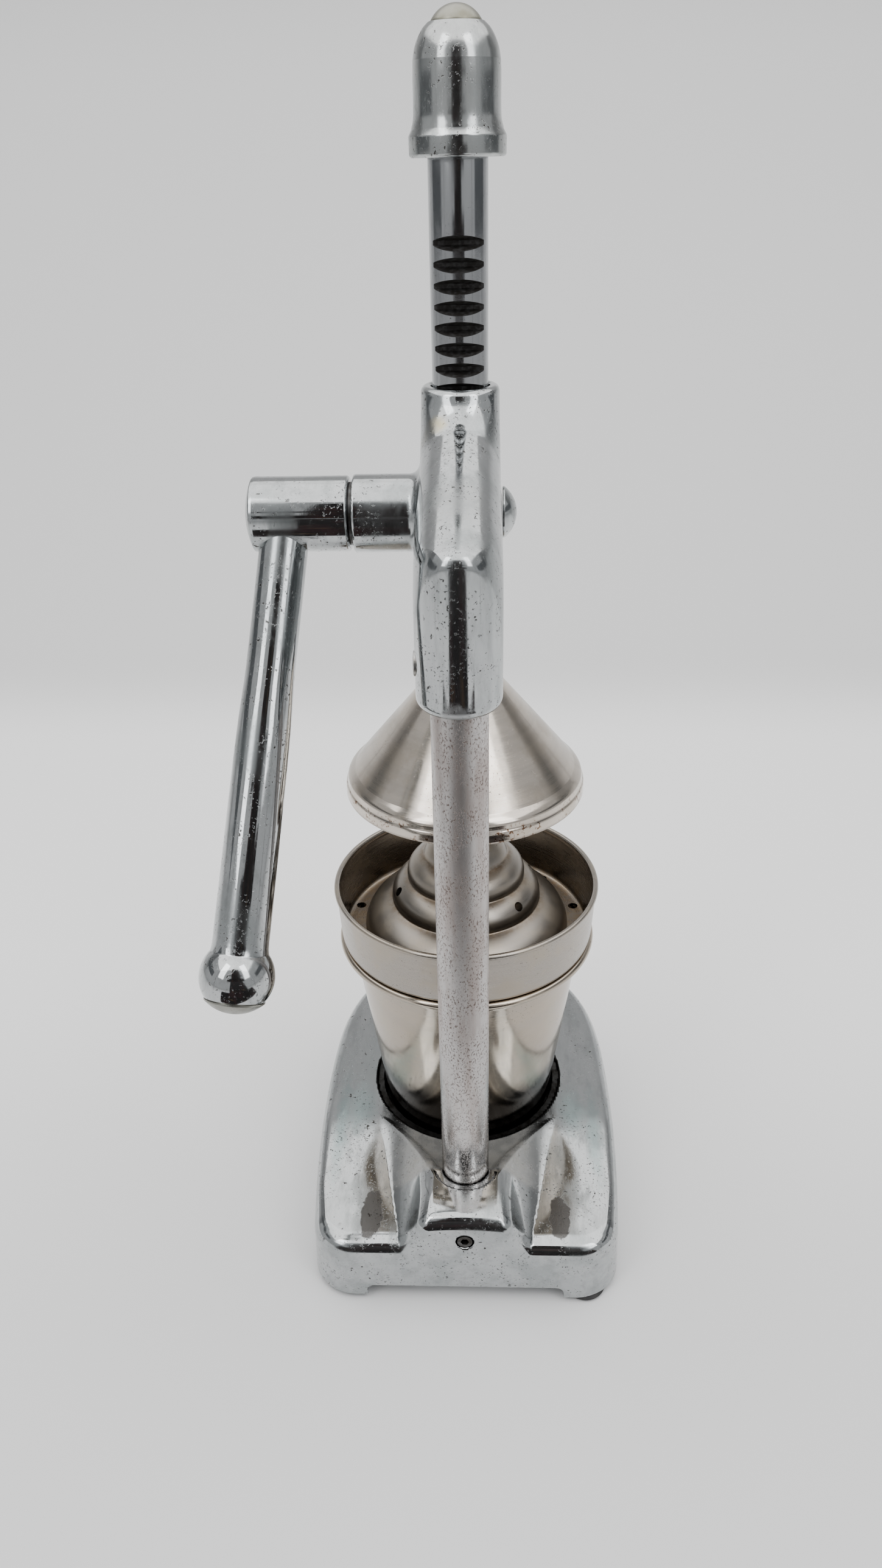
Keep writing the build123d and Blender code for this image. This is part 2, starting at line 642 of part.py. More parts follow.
def rack_bar():
    """Round bar with rack teeth behind, a threaded spigot above and a seat for the cone below."""
    body = post(RACK_R, BAR_SHOULDER_Z, BAR_TOP_Z)
    body += post(SPIGOT_R, BAR_TOP_Z, BAR_TOP_Z + SPIGOT_LENGTH)
    body += post(CONE_SEAT_R, BAR_BOTTOM_Z, BAR_SHOULDER_Z)
    top_notch = PINION_Z + NOTCHES_ABOVE_PINION * PITCH
    for i in range(NOTCH_COUNT):
        body -= rack_notch(top_notch - i * PITCH)
    body -= post(CONE_SCREW_R, BAR_BOTTOM_Z - 1, BAR_SHOULDER_Z + 12)
    return body


def top_cap():
    """Bullet-shaped cap with a collar, bored for the bar and the nut."""
    collar_top = CAP_BOTTOM_Z + 5.8
    body = turned(
        Line((0, CAP_BOTTOM_Z), (CAP_COLLAR_R - 1.2, CAP_BOTTOM_Z)),
        ThreePointArc(
            (CAP_COLLAR_R - 1.2, CAP_BOTTOM_Z),
            (CAP_COLLAR_R - 0.4, CAP_BOTTOM_Z + 0.4),
            (CAP_COLLAR_R, CAP_BOTTOM_Z + 1.4),
        ),
        Line((CAP_COLLAR_R, CAP_BOTTOM_Z + 1.4), (CAP_COLLAR_R, collar_top)),
        Spline(
            (CAP_COLLAR_R, collar_top),
            (CAP_BODY_R + 0.6, collar_top + 3.0),
            (CAP_BODY_R, collar_top + 8.5),
            (CAP_BODY_R, collar_top + 15.0),
            (CAP_BODY_R - 0.5, collar_top + 20.0),
            (CAP_BODY_R - 2.2, collar_top + 25.2),
            (CAP_PLUG_R + 0.5, CAP_TOP_Z),
        ),
        Line((CAP_PLUG_R + 0.5, CAP_TOP_Z), (0, CAP_TOP_Z)),
        Line((0, CAP_TOP_Z), (0, CAP_BOTTOM_Z)),
    )
    body -= post(RACK_R, CAP_BOTTOM_Z - 1, BAR_TOP_Z)
    body -= post(SPIGOT_R, BAR_TOP_Z - 1, CAP_TOP_Z)
    body -= post(CAP_PLUG_R, CAP_TOP_Z - CAP_POCKET_DEPTH, CAP_TOP_Z + 1)
    return body


def cap_nut():
    """Hexagon nut on the bar's spigot inside the cap."""
    low = CAP_TOP_Z - CAP_POCKET_DEPTH
    nut = Pos(0, 0, low) * extrude(RegularPolygon(NUT_R, 6), NUT_HEIGHT)
    return nut - post(SPIGOT_R, low - 1, CAP_TOP_Z)


def top_cap_plug():
    """Domed plug that closes the cap over the nut."""
    low = CAP_TOP_Z - 3.0
    edge_z = CAP_TOP_Z + 0.2
    apex = 4.6
    return turned(
        Line((0, low), (CAP_PLUG_R, low)),
        Line((CAP_PLUG_R, low), (CAP_PLUG_R, edge_z)),
        dome(CAP_PLUG_R, edge_z, apex),
        Line((0, edge_z + apex), (0, low)),
    )


def cone_outline(inset):
    """Half outline of the press cone's skin, moved inwards by inset."""
    shoulder_r, shoulder_z = CONE_SHOULDER
    slope = Vector(shoulder_r - CONE_TOP_R, CONE_TOP_Z - shoulder_z).normalized()
    along, across = slope.X * inset, slope.Y * inset
    top = CONE_TOP_Z - inset
    band_r = CONE_RIM_R - inset
    return [
        Line((0, top), (CONE_TOP_R - along * 0.3, top)),
        Line((CONE_TOP_R - along * 0.3, top), (shoulder_r - across, shoulder_z - along)),
        Spline(
            (shoulder_r - across, shoulder_z - along),
            (CONE_RIM_R - 0.7 - inset, shoulder_z - 2.4 - inset * 0.3),
            (CONE_RIM_R - 0.9 - inset, shoulder_z - 3.4 - inset * 0.1),
            (band_r + 0.1, CONE_RIM_Z + 3.5),
            (band_r, CONE_RIM_Z),
        ),
    ]


def press_cone():
    """Spun sheet cone with a rounded shoulder and an upright rim band."""
    outer = cone_outline(0.0)
    inner = cone_outline(SHEET)
    rim = Line((CONE_RIM_R - SHEET, CONE_RIM_Z), (CONE_RIM_R, CONE_RIM_Z))
    axis = Line((0, CONE_TOP_Z - SHEET), (0, CONE_TOP_Z))
    return turned(*outer, *inner, rim, axis) - cone_bore()


def cone_bore():
    """Room for the bar's seat through the cone and its two washers."""
    return post(CONE_SEAT_R, BAR_BOTTOM_Z - 10, BAR_SHOULDER_Z + 10)


def cone_backing_washer():
    """Wide washer between the bar's shoulder and the cone."""
    return post(BACKING_WASHER_R, CONE_TOP_Z, BAR_SHOULDER_Z) - cone_bore()


def cone_washer():
    """Thick washer under the cone's top, clamped by the screw."""
    return post(CONE_WASHER_R, BAR_BOTTOM_Z + 1.0, CONE_TOP_Z - SHEET) - cone_bore()


def cone_screw():
    """Pan head screw up into the bar, holding the cone from inside."""
    head = post(CONE_SCREW_HEAD_R, BAR_BOTTOM_Z - CONE_SCREW_HEAD_HEIGHT, BAR_BOTTOM_Z)
    head = fillet(head.edges().group_by(Axis.Z)[0], 1.0)
    screw = head + post(CONE_SCREW_R, BAR_BOTTOM_Z, BAR_SHOULDER_Z + 11)
    return screw - block((-7, 7), (-0.6, 0.6), (BAR_BOTTOM_Z - 4, BAR_BOTTOM_Z - 2))


# ---- Strainer, reamer and cup -------------------------------------------------------------
def bowl_skin():
    """Sheet wall and floor ring of the bowl."""
    foot, floor = BOWL_FOOT_Z, BOWL_FOOT_Z + SHEET
    top = BOWL_RIM_Z - BOWL_BEAD_R
    rim_r = BOWL_RIM_R - BOWL_BEAD_R
    inside_r = BOWL_FOOT_R - SHEET
    corner = ((BOWL_FOOT_R - 1.5, foot), (BOWL_FOOT_R - 0.4, foot + 0.45), (BOWL_FOOT_R, foot + 1.6))
    return turned(
        Line((BOWL_OPEN_R, foot), corner[0]),
        ThreePointArc(*corner),
        Line(corner[2], (rim_r + 0.3, top)),
        Line((rim_r + 0.3, top), (rim_r - 0.7, top)),
        Line((rim_r - 0.7, top), (inside_r, floor + 1.4)),
        Line((inside_r, floor + 1.4), (inside_r - 1.2, floor)),
        Line((inside_r - 1.2, floor), (BOWL_OPEN_R, floor)),
        Line((BOWL_OPEN_R, floor), (BOWL_OPEN_R, foot)),
    )


def strainer_bowl():
    """Shallow bowl with a rolled rim, a ring of drain holes and a locating ring beneath."""
    foot, floor = BOWL_FOOT_Z, BOWL_FOOT_Z + SHEET
    bead = Pos(0, 0, BOWL_RIM_Z - BOWL_BEAD_R) * Torus(BOWL_RIM_R - BOWL_BEAD_R, BOWL_BEAD_R)
    ring_low = foot - LOCATING_RING_HEIGHT
    inner_r, outer_r = LOCATING_RING_R
    ring = post(outer_r, ring_low, foot + 0.2) - post(inner_r, ring_low - 1, foot + 1)
    body = bowl_skin() + bead + ring
    for i in range(FLOOR_HOLE_COUNT):
        a = 2 * pi * (i + 0.5) / FLOOR_HOLE_COUNT
        x, y = FLOOR_HOLE_RING_R * cos(a), FLOOR_HOLE_RING_R * sin(a)
        body -= post(FLOOR_HOLE_R, foot - 0.5, floor + 1, x, y)
    return body


def reamer_outline(inset):
    """Stepped bulging outline of the reamer's skin, moved inwards by inset."""
    floor = BOWL_FOOT_Z + SHEET
    steps = [(r - inset, floor + h - (inset * 0.3 if h else 0)) for r, h in REAMER_TIERS]
    edges = []
    for (r0, z0), (r1, z1) in zip(steps, steps[1:]):
        swell = (r1 + (r0 - r1) * 0.66, z0 + (z1 - z0) * 0.64)
        edges.append(ThreePointArc((r0, z0), swell, (r1, z1)))
    top_r, top_z = steps[-1]
    edges.append(dome(top_r, top_z, floor + REAMER_HEIGHT - inset - top_z))
    return edges


def reamer_cone():
    """Spun reamer with four swelling tiers and juice holes in the second one."""
    floor = BOWL_FOOT_Z + SHEET
    base_r = REAMER_TIERS[0][0]
    outer = reamer_outline(0.0)
    inner = reamer_outline(REAMER_SKIN)
    foot = Line((base_r - REAMER_SKIN, floor), (base_r, floor))
    axis = Line((0, floor + REAMER_HEIGHT - REAMER_SKIN), (0, floor + REAMER_HEIGHT))
    body = turned(*outer, *inner, foot, axis)
    (r0, h0), (r1, h1) = REAMER_TIERS[1:3]
    middle = Pos((r0 + r1) / 2, 0, floor + (h0 + h1) / 2)
    bore = middle * Rot(0, REAMER_HOLE_TILT, 0) * Cylinder(REAMER_HOLE_R, 12)
    for i in range(REAMER_HOLES):
        body -= Rot(0, 0, 360 / REAMER_HOLES * i + REAMER_HOLE_TURN) * bore
    return body


def cup_outline(inset):
    """Half outline of the tumbler's skin: foot, rounded corner, tapered wall, flared lip."""
    foot = CUP_FOOT_Z + inset
    wall_r, wall_z = CUP_WALL_TOP
    lip_r, lip_z = CUP_BEAD
    flat_end = (CUP_FOOT_R - 7, foot)
    bend = (CUP_FOOT_R - 2.0 - inset * 0.7, foot + 2.4)
    wall_start = (CUP_FOOT_R - inset, CUP_FOOT_Z + 8)
    return [
        Line((0, foot), flat_end),
        ThreePointArc(flat_end, bend, wall_start),
        Line(wall_start, (wall_r - inset, wall_z)),
        Spline(
            (wall_r - inset, wall_z),
            (wall_r + 0.9 - inset * 0.8, wall_z + 3.4),
            (lip_r - 0.4, lip_z - 0.4 + inset),
        ),
    ]


def juice_cup():
    """Tapered tumbler with a rolled bead on its flared lip."""
    bead_r, bead_z = CUP_BEAD
    outer = cup_outline(0.0)
    inner = cup_outline(CUP_SKIN)
    lip = Line((bead_r - 0.4, bead_z - 0.4), (bead_r - 0.4, bead_z - 0.4 + CUP_SKIN))
    axis = Line((0, CUP_FOOT_Z), (0, CUP_FOOT_Z + CUP_SKIN))
    return turned(*outer, *inner, lip, axis) + Pos(0, 0, bead_z) * Torus(bead_r, CUP_BEAD_R)


# ---- Output -------------------------------------------------------------------------------
PIECES = [
    base_casting,
    rubber_feet,
    foot_screws,
    column,
    column_set_screw,
    head_casting,
    head_set_screw,
    shaft_bush_outer,
    shaft_bush_inner,
    pinion_shaft,
    pinion_gear,
    gear_key,
    shaft_end_button,
    thrust_washer,
    lever_hub,
    lever_rod,
    handle_end_plug,
    rack_bar,
    top_cap,
    cap_nut,
    top_cap_plug,
    press_cone,
    cone_backing_washer,
    cone_washer,
    cone_screw,
    strainer_bowl,
    reamer_cone,
    juice_cup,
]

os.makedirs("parts", exist_ok=True)
to_origin = Pos(-ORIGIN[0], -ORIGIN[1], 0)
for piece in PIECES:
    export_step(to_origin * piece(), f"parts/{piece.__name__}.step")
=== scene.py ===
"""Hand lever citrus press: shapes and finishes for its CAD parts, and a pale studio round it."""
import json
import math

import bmesh
import bpy
import numpy as np
import openvdb
from mathutils import Matrix, Vector

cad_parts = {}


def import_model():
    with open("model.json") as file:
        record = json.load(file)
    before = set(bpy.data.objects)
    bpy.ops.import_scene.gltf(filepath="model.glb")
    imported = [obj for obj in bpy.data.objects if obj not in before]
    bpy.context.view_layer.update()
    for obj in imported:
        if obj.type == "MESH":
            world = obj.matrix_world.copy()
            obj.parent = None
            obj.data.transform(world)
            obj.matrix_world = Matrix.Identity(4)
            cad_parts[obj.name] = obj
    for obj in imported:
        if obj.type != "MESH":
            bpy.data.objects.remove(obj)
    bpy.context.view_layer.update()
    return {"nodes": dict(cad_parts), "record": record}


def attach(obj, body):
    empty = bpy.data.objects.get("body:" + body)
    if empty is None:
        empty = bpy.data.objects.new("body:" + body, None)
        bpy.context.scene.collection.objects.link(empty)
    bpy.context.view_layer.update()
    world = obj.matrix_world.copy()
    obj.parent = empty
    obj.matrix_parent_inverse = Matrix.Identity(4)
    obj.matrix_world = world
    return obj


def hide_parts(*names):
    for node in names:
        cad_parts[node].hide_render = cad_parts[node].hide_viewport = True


MM = 0.001

# ---- Shared dimensions, in millimetres, the same as the CAD parts ----
COLUMN_Y = 66.5
COLUMN_R = 9.6
COLUMN_Z = (8.0, 298.0)
PINION_Y = 20.1
PINION_Z = 306.4
FEET = [(-49.0, 83.0), (49.0, 83.0), (-43.0, -60.0), (43.0, -60.0)]

# Base: deck, well and saddle
DECK_Z = 35.0
BASE_BOTTOM = 2.5
BASE_REAR_Y = 96.0
REAR_CORNER_R = 16.0
FRONT_CORNER_R = 20.0
DECK_EDGE_R = (5.0, 7.2)  # along the sides, and along the rear
DRAFT = math.tan(math.radians(1.5))
DECK_FALL = 0.062  # drop of the deck per millimetre towards the rear
FALL_BLEND = 6.0
WELL_R = 42.6
WELL_SHELF_R = 39.3
WELL_SHELF_Z = 33.6
WELL_FLOOR_Z = 17.0
WELL_LEDGE_Z = 35.2
SADDLE_TOP_Z = 47.0
SADDLE_HALF_TOP = 15.6
SADDLE_Y = (23.0, 95.4)
SADDLE_START = 3.0  # distance from the well's rim to the foot of the saddle's front slope
VALLEY_HALF = (43.5, 26.5)  # half width between the valleys, at the saddle's front and rear
FLANK_POWER = (2.1, 1.35)  # hollowness of the flanks, at the saddle's front and rear
CROWN_ACROSS = 0.0045
CROWN_ALONG = 0.0085
CROWN_START_Y = 77.0
SLOPE = 0.46
SLOPE_COSINE = 0.91  # turns a height above the slope into a distance from it
SLOPE_BLEND = 3.0
CHANNEL_START = 10.0
CHANNEL_HALF = 12.6
CHANNEL_FLARE = 19.5
CHANNEL_FLARE_Y = 64.0
CHANNEL_FLARE_LENGTH = 29.0
SEAT_R = 13.0
SEAT_Z = 45.6

# Base: inside, underside and rear face
WALL = 5.5
DECK_UNDERSIDE_Z = 30.0
WELL_OUTSIDE = (43.8, 13.5)  # radius and lowest height of the metal round the well
FOOT_BOSS_R = 11.0
FOOT_SOCKET = (8.6, 3.6)  # radius and depth
SPINE_HALF = 17.5
SPINE_FRONT_Y = 40.0
REAR_WALL_Y = 84.0
RELIEF = (40.0, 8.0)  # half width and height of the gap under the rear face
SCREW_HOLE = (3.6, 34.0)  # radius and height

# Head
HEAD_BOTTOM_Z = 256.0
NECK_R = 13.3
NECK_TOP_Z = 344.6
NECK_BLEND = 9.0
HEAD_REAR_R = 14.1
RIDGE_START = (13.3, 337.5)
RIDGE_END = (80.6, 309.4)
CREASE = (3.5, 24.0)  # rounding where ridge and rear meet: in the middle, and added at the flanks
BOSS_R = 13.0
BOSS_END_X = 36.0
SHAFT_BORE_R = 8.0
SHAFT_BORE_END_X = -20.0
GEAR_ROOM_R = 15.4
GEAR_ROOM_HALF = 9.2
HEAD_SCREW_Z = 271.0

# Rack bar: 12-tooth module 2 pinion, so the pitch is two pi
RACK_R = 9.5
PITCH = 2 * math.pi
GAP_COUNT = 18
GAPS_ABOVE_PINION = 13
TOOTH_ANGLE = math.radians(20)
GAP_ROOT_Y = 5.0
GAP_OPEN_Y = 11.0
PITCH_LINE_Y = 7.5

# Lever
LEVER_X = 59.0
LEVER_BACK = math.radians(30.0)
LEVER_SPLAY = math.radians(6.1)
BALL_S = 158.1  # distance along the lever from the hub's axis to the ball's centre
BALL_R = 12.9
PLUG_R = 10.5

# Strainer and reamer
STRAINER_FLOOR_Z = 121.4
DRAIN_HOLES = 12
DRAIN_RING_R = 48.5
DRAIN_HOLE_R = 2.1
REAMER_TIERS = [(43.2, 0.0), (31.0, 15.6), (24.4, 26.0), (17.6, 36.4)]  # radius and height of each groove
REAMER_TOP = 48.5
REAMER_SKIN = 0.9
JUICE_HOLES = 6
JUICE_HOLE_R = 2.0
JUICE_HOLE_TURN = 18
JUICE_HOLE_TILT = 55
JUICE_HOLE_AT = (28.6, 21.6)  # radius, and height above the floor

# The CAD files' origin lies under the rear foot; the shapes below are drawn about the cup's axis.
TO_FRAME = Matrix.Translation((-43.0 * MM, -83.0 * MM, 0.0))


# ======================= Meshes from outlines =======================
def link(data, name):
    """New object with the given mesh, light or camera, linked to the scene."""
    obj = bpy.data.objects.new(name, data)
    bpy.context.scene.collection.objects.link(obj)
    return obj


NEARLY_STRAIGHT = math.radians(172)
NEARLY_FOLDED = 0.02


def soften(points, radius, steps=6):
    """Outline whose inner corners are arcs of the given radius, or less where there is no room."""
    out = [points[0]]
    for before, corner, after in zip(points, points[1:], points[2:]):
        c = Vector(corner)
        a = Vector(before) - c
        b = Vector(after) - c
        turn = a.angle(b, 0.0)
        if turn > NEARLY_STRAIGHT or turn < NEARLY_FOLDED:
            out.append(corner)
            continue
        reach = min(radius / math.tan(turn / 2), 0.45 * a.length, 0.45 * b.length)
        r = reach * math.tan(turn / 2)
        middle = c + (a.normalized() + b.normalized()).normalized() * r / math.sin(turn / 2)
        start = c + a.normalized() * reach - middle
        end = c + b.normalized() * reach - middle
        sweep = math.atan2(start.x * end.y - start.y * end.x, start.dot(end))
        for i in range(steps + 1):
            t = sweep * i / steps
            s, k = math.sin(t), math.cos(t)
            out.append((middle.x + start.x * k - start.y * s, middle.y + start.x * s + start.y * k))
    out.append(points[-1])
    return out


def cap_arc(radius, z, height, steps=14):
    """Points of a ball cap from its edge to its top on the axis."""
    ball = (radius**2 + height**2) / (2 * height)
    half = math.asin(min(1.0, radius / ball))
    if height > ball:
        half = math.pi - half
    angles = [half * (1 - i / steps) for i in range(steps + 1)]
    return [(ball * math.sin(a), z + height - ball * (1 - math.cos(a))) for a in angles]


def curve_through(points, per_span=8):
    """Smooth curve through outline points (centripetal spline)."""
    pts = [Vector(p) for p in points]
    pts = [pts[0] * 2 - pts[1]] + pts + [pts[-1] * 2 - pts[-2]]
    out = []
    for p0, p1, p2, p3 in zip(pts, pts[1:], pts[2:], pts[3:]):
        for i in range(per_span):
            t = i / per_span
            a = (p2 - p0) * 0.5
            b = (p3 - p1) * 0.5
            h = (2 * t**3 - 3 * t**2 + 1) * p1 + (t**3 - 2 * t**2 + t) * a
            h += (3 * t**2 - 2 * t**3) * p2 + (t**3 - t**2) * b
            out.append(tuple(h))
    out.append(tuple(pts[-2]))
    return out


def lathe_mesh(bm, outline, place, segments, closed):
    """Adds the outline of (radius, height) points, turned about its axis, to bm."""
    rings = []
    for r, z in outline:
        if r < 1e-6:
            rings.append([bm.verts.new(place @ Vector((0, 0, z)) * MM)])
            continue
        ring = []
        for i in range(segments):
            a = 2 * math.pi * i / segments
            ring.append(bm.verts.new(place @ Vector((r * math.cos(a), r * math.sin(a), z)) * MM))
        rings.append(ring)
    pairs = list(zip(rings, rings[1:]))
    if closed:
        pairs.append((rings[-1], rings[0]))
    for low, high in pairs:
        for i in range(segments):
            j = (i + 1) % segments
            quad = [low[i % len(low)], low[j % len(low)], high[j % len(high)], high[i % len(high)]]
            face = list(dict.fromkeys(quad))
            if len(face) > 2:
                bm.faces.new(face)


def finish_mesh(bm, name, sharp_deg=38):
    """Object made from bm, smooth except at edges sharper than sharp_deg."""
    bmesh.ops.recalc_face_normals(bm, faces=bm.faces)
    mesh = bpy.data.meshes.new(name)
    bm.to_mesh(mesh)
    bm.free()
    mesh.shade_smooth()
    mesh.set_sharp_from_angle(angle=math.radians(sharp_deg))
    return link(mesh, name)


def lathe(name, outline, places=None, segments=144, closed=False):
    """Turned piece. A solid's outline starts and ends on the axis; a ring's outline is closed."""
    bm = bmesh.new()
    for place in places or [Matrix.Identity(4)]:
        lathe_mesh(bm, outline, place, segments, closed)
    return finish_mesh(bm, name)


def along_x(x=0.0, flip=False):
    """Placement on the pinion axis: the outline's height runs along +X, or -X when flipped."""
    turn = Matrix.Rotation(math.radians(-90 if flip else 90), 4, "Y")
    return Matrix.Translation((x, PINION_Y, PINION_Z)) @ turn


def lever_place():
    """Placement on the hub axis with the outline's height along the lever."""
    sb, cb = math.sin(LEVER_BACK), math.cos(LEVER_BACK)
    ss, cs = math.sin(LEVER_SPLAY), math.cos(LEVER_SPLAY)
    z = Vector((ss, cs * sb, -cs * cb))
    x = Vector((cs, -ss * sb, ss * cb))
    y = z.cross(x)
    turn = Matrix((x, y, z)).transposed().to_4x4()
    return Matrix.Translation((LEVER_X, PINION_Y, PINION_Z)) @ turn


# ======================= Meshes from distance fields =======================
def round_max(a, b, r):
    """Intersection of two fields whose shared edge is rounded to radius r."""
    u = np.maximum(a + r, 0)
    v = np.maximum(b + r, 0)
    return np.minimum(np.maximum(a, b), -r) + np.hypot(u, v)


def round_min(a, b, r):
    """Union of two fields with an inner corner of radius r."""
    return -round_max(-a, -b, r)


def smooth_step(low, high, x):
    """0 at low, 1 at high, smooth between; low may be the larger number."""
    t = np.clip((x - low) / (high - low), 0, 1)
    return t * t * (3 - 2 * t)


def gradient(field, points, step=0.02):
    """Slope of the field at each point, by central differences."""
    columns = []
    for axis in range(3):
        shift = np.zeros(3)
        shift[axis] = step
        columns.append((field(*(points + shift).T) - field(*(points - shift).T)) / (2 * step))
    return np.stack(columns, 1)


def field_piece(name, field, low, high, voxel):
    """Surface of a distance field: marching cells, then each point moved onto the exact surface."""
    low = np.array(low, float) - 2 * voxel
    counts = np.ceil((np.array(high, float) + 2 * voxel - low) / voxel).astype(int) + 1
    axes = [low[i] + voxel * np.arange(counts[i]) for i in range(3)]
    y, z = np.meshgrid(axes[1], axes[2], indexing="ij")
    values = np.empty(counts, np.float32)
    for i, x in enumerate(axes[0]):
        values[i] = field(np.full_like(y, x), y, z)
    grid = openvdb.FloatGrid(3 * voxel)
    grid.copyFromArray(values)
    points, triangles, quads = grid.convertToPolygons(isovalue=0.0, adaptivity=0.0)
    points = points.astype(float) * voxel + low
    for _ in range(4):
        slope = gradient(field, points)
        size = np.maximum((slope**2).sum(1), 0.05)
        move = slope * (field(*points.T) / size)[:, None]
        points -= np.clip(move, -0.5 * voxel, 0.5 * voxel)
    normals = gradient(field, points)
    normals /= np.maximum(np.linalg.norm(normals, axis=1), 1e-9)[:, None]
    faces = quads.tolist() + triangles.tolist()
    mesh = bpy.data.meshes.new(name)
    mesh.from_pydata((points * MM).tolist(), [], faces)
    mesh.shade_smooth()
    mesh.normals_split_custom_set_from_vertices(normals.tolist())
    return link(mesh, name)


# ======================= Base casting =======================
def circle_through(p, q, r):
    """Centre and radius of the circle through three plan points."""
    ax, ay = q[0] - p[0], q[1] - p[1]
    bx, by = r[0] - p[0], r[1] - p[1]
    d = 2 * (ax * by - ay * bx)
    ux = (by * (ax**2 + ay**2) - ay * (bx**2 + by**2)) / d
    uy = (ax * (bx**2 + by**2) - bx * (ax**2 + ay**2)) / d
    return p[0] + ux, p[1] + uy, math.hypot(ux, uy)


SIDE_ARC = circle_through((61.0, -62.0), (66.0, 5.0), (61.5, 96.0))
FRONT_ARC = circle_through((-61.0, -62.0), (0.0, -88.0), (61.0, -62.0))


def base_plan(x, y):
    """Plan outline: bowed sides, arched front, straight rear, round corners."""
    cx, cy, side_r = SIDE_ARC
    side = np.hypot(np.abs(x) - cx, y - cy) - side_r
    fx, fy, front_r = FRONT_ARC
    front = np.hypot(x - fx, np.minimum(y - fy, 0)) - front_r
    rear = round_max(side, y - BASE_REAR_Y, REAR_CORNER_R)
    return round_max(rear, front, FRONT_CORNER_R)


def deck_height(y):
    """Deck level: flat round the well, falling gently towards the rear edge."""
    behind = y - SADDLE_Y[0] - FALL_BLEND
    return DECK_Z - DECK_FALL * (behind + np.sqrt(behind**2 + FALL_BLEND**2)) / 2


def between(pair, t):
    """Value between two ends, at the share t of the way."""
    return pair[0] + (pair[1] - pair[0]) * t


def saddle_lines(y):
    """Half width at the valleys, valley height and flank hollowness along the base."""
    front, rear = SADDLE_Y
    t = np.clip((y - front) / (rear - front), 0, 1.02)
    valley_z = deck_height(y) - 0.12 - 0.4 * t
    return between(VALLEY_HALF, t), valley_z, between(FLANK_POWER, t)


def saddle_flank(x, y, z):
    """Hollow side of the hump, from the flat top down to the valley line."""
    half, valley_z, power = saddle_lines(y)
    rise = (SADDLE_TOP_Z - valley_z) * smooth_step(8, SADDLE_Y[0], y)
    reach = half - SADDLE_HALF_TOP
    left = np.clip(1 - (np.abs(x) - SADDLE_HALF_TOP) / reach, 0, 1.6)
    height = valley_z + rise * left**power
    steep = rise * power * np.maximum(left, 0.02) ** (power - 1) / reach
    return (z - height) / np.sqrt(1 + steep**2)


def front_slope(x, y, z, start):
    """Slope that rises from the ledge round the well, beginning start millimetres out from the rim."""
    out = np.hypot(x, y) - WELL_R - start
    height = WELL_LEDGE_Z + SLOPE * (out + np.sqrt(out**2 + SLOPE_BLEND**2)) / 2
    return (z - height) * SLOPE_COSINE


def saddle_field(x, y, z):
    """Hump under the column: flat top, hollow flanks, front slope and the channel for the column."""
    crown = SADDLE_TOP_Z - CROWN_ACROSS * x**2 - CROWN_ALONG * np.maximum(y - CROWN_START_Y, 0) ** 2
    body = round_max(z - crown, saddle_flank(x, y, z), 3.0)
    body = round_max(body, front_slope(x, y, z, SADDLE_START), 1.6)
    ahead = np.clip(CHANNEL_FLARE_Y - y, 0, 40) / CHANNEL_FLARE_LENGTH
    half = CHANNEL_HALF + CHANNEL_FLARE * ahead**1.5
    channel = round_max(-front_slope(x, y, z, CHANNEL_START), np.abs(x) - half, 2.5)
    channel = round_max(channel, y - COLUMN_Y, 2.0)
    return round_max(body, -channel, 1.8)


def base_block(x, y, z):
    """Draughted block under the deck, with the saddle rising out of it."""
    skirt = (base_plan(x, y) + (z - BASE_BOTTOM) * DRAFT) / math.sqrt(1 + DRAFT**2)
    side_r, rear_r = DECK_EDGE_R
    edge_r = side_r + (rear_r - side_r) * smooth_step(60, 88, y)
    deck = round_max(z - deck_height(y), skirt, edge_r)
    saddle = round_max(saddle_field(x, y, z), skirt, side_r)
    return round_min(deck, saddle, 0.12)


def base_hollow(x, y, z):
    """Room under the deck, round the feet, the column's spine and the well."""
    room = np.maximum(base_plan(x, y) + WALL, z - DECK_UNDERSIDE_Z)
    for fx, fy in FEET:
        room = np.maximum(room, FOOT_BOSS_R - np.hypot(x - fx, y - fy))
    room = np.maximum(room, np.minimum(SPINE_HALF - np.abs(x), y - SPINE_FRONT_Y))
    well_r, well_z = WELL_OUTSIDE
    well = np.minimum(well_r - np.hypot(x, y), z - well_z)
    return np.maximum(room, well)


def well_field(x, y, z):
    """Room of the well: the cup's recess and the wider step at its mouth."""
    r = np.hypot(x, y)
    recess = np.maximum(r - WELL_SHELF_R, WELL_FLOOR_Z - z)
    mouth = np.maximum(r - WELL_R, WELL_SHELF_Z - z)
    return np.minimum(recess, mouth)


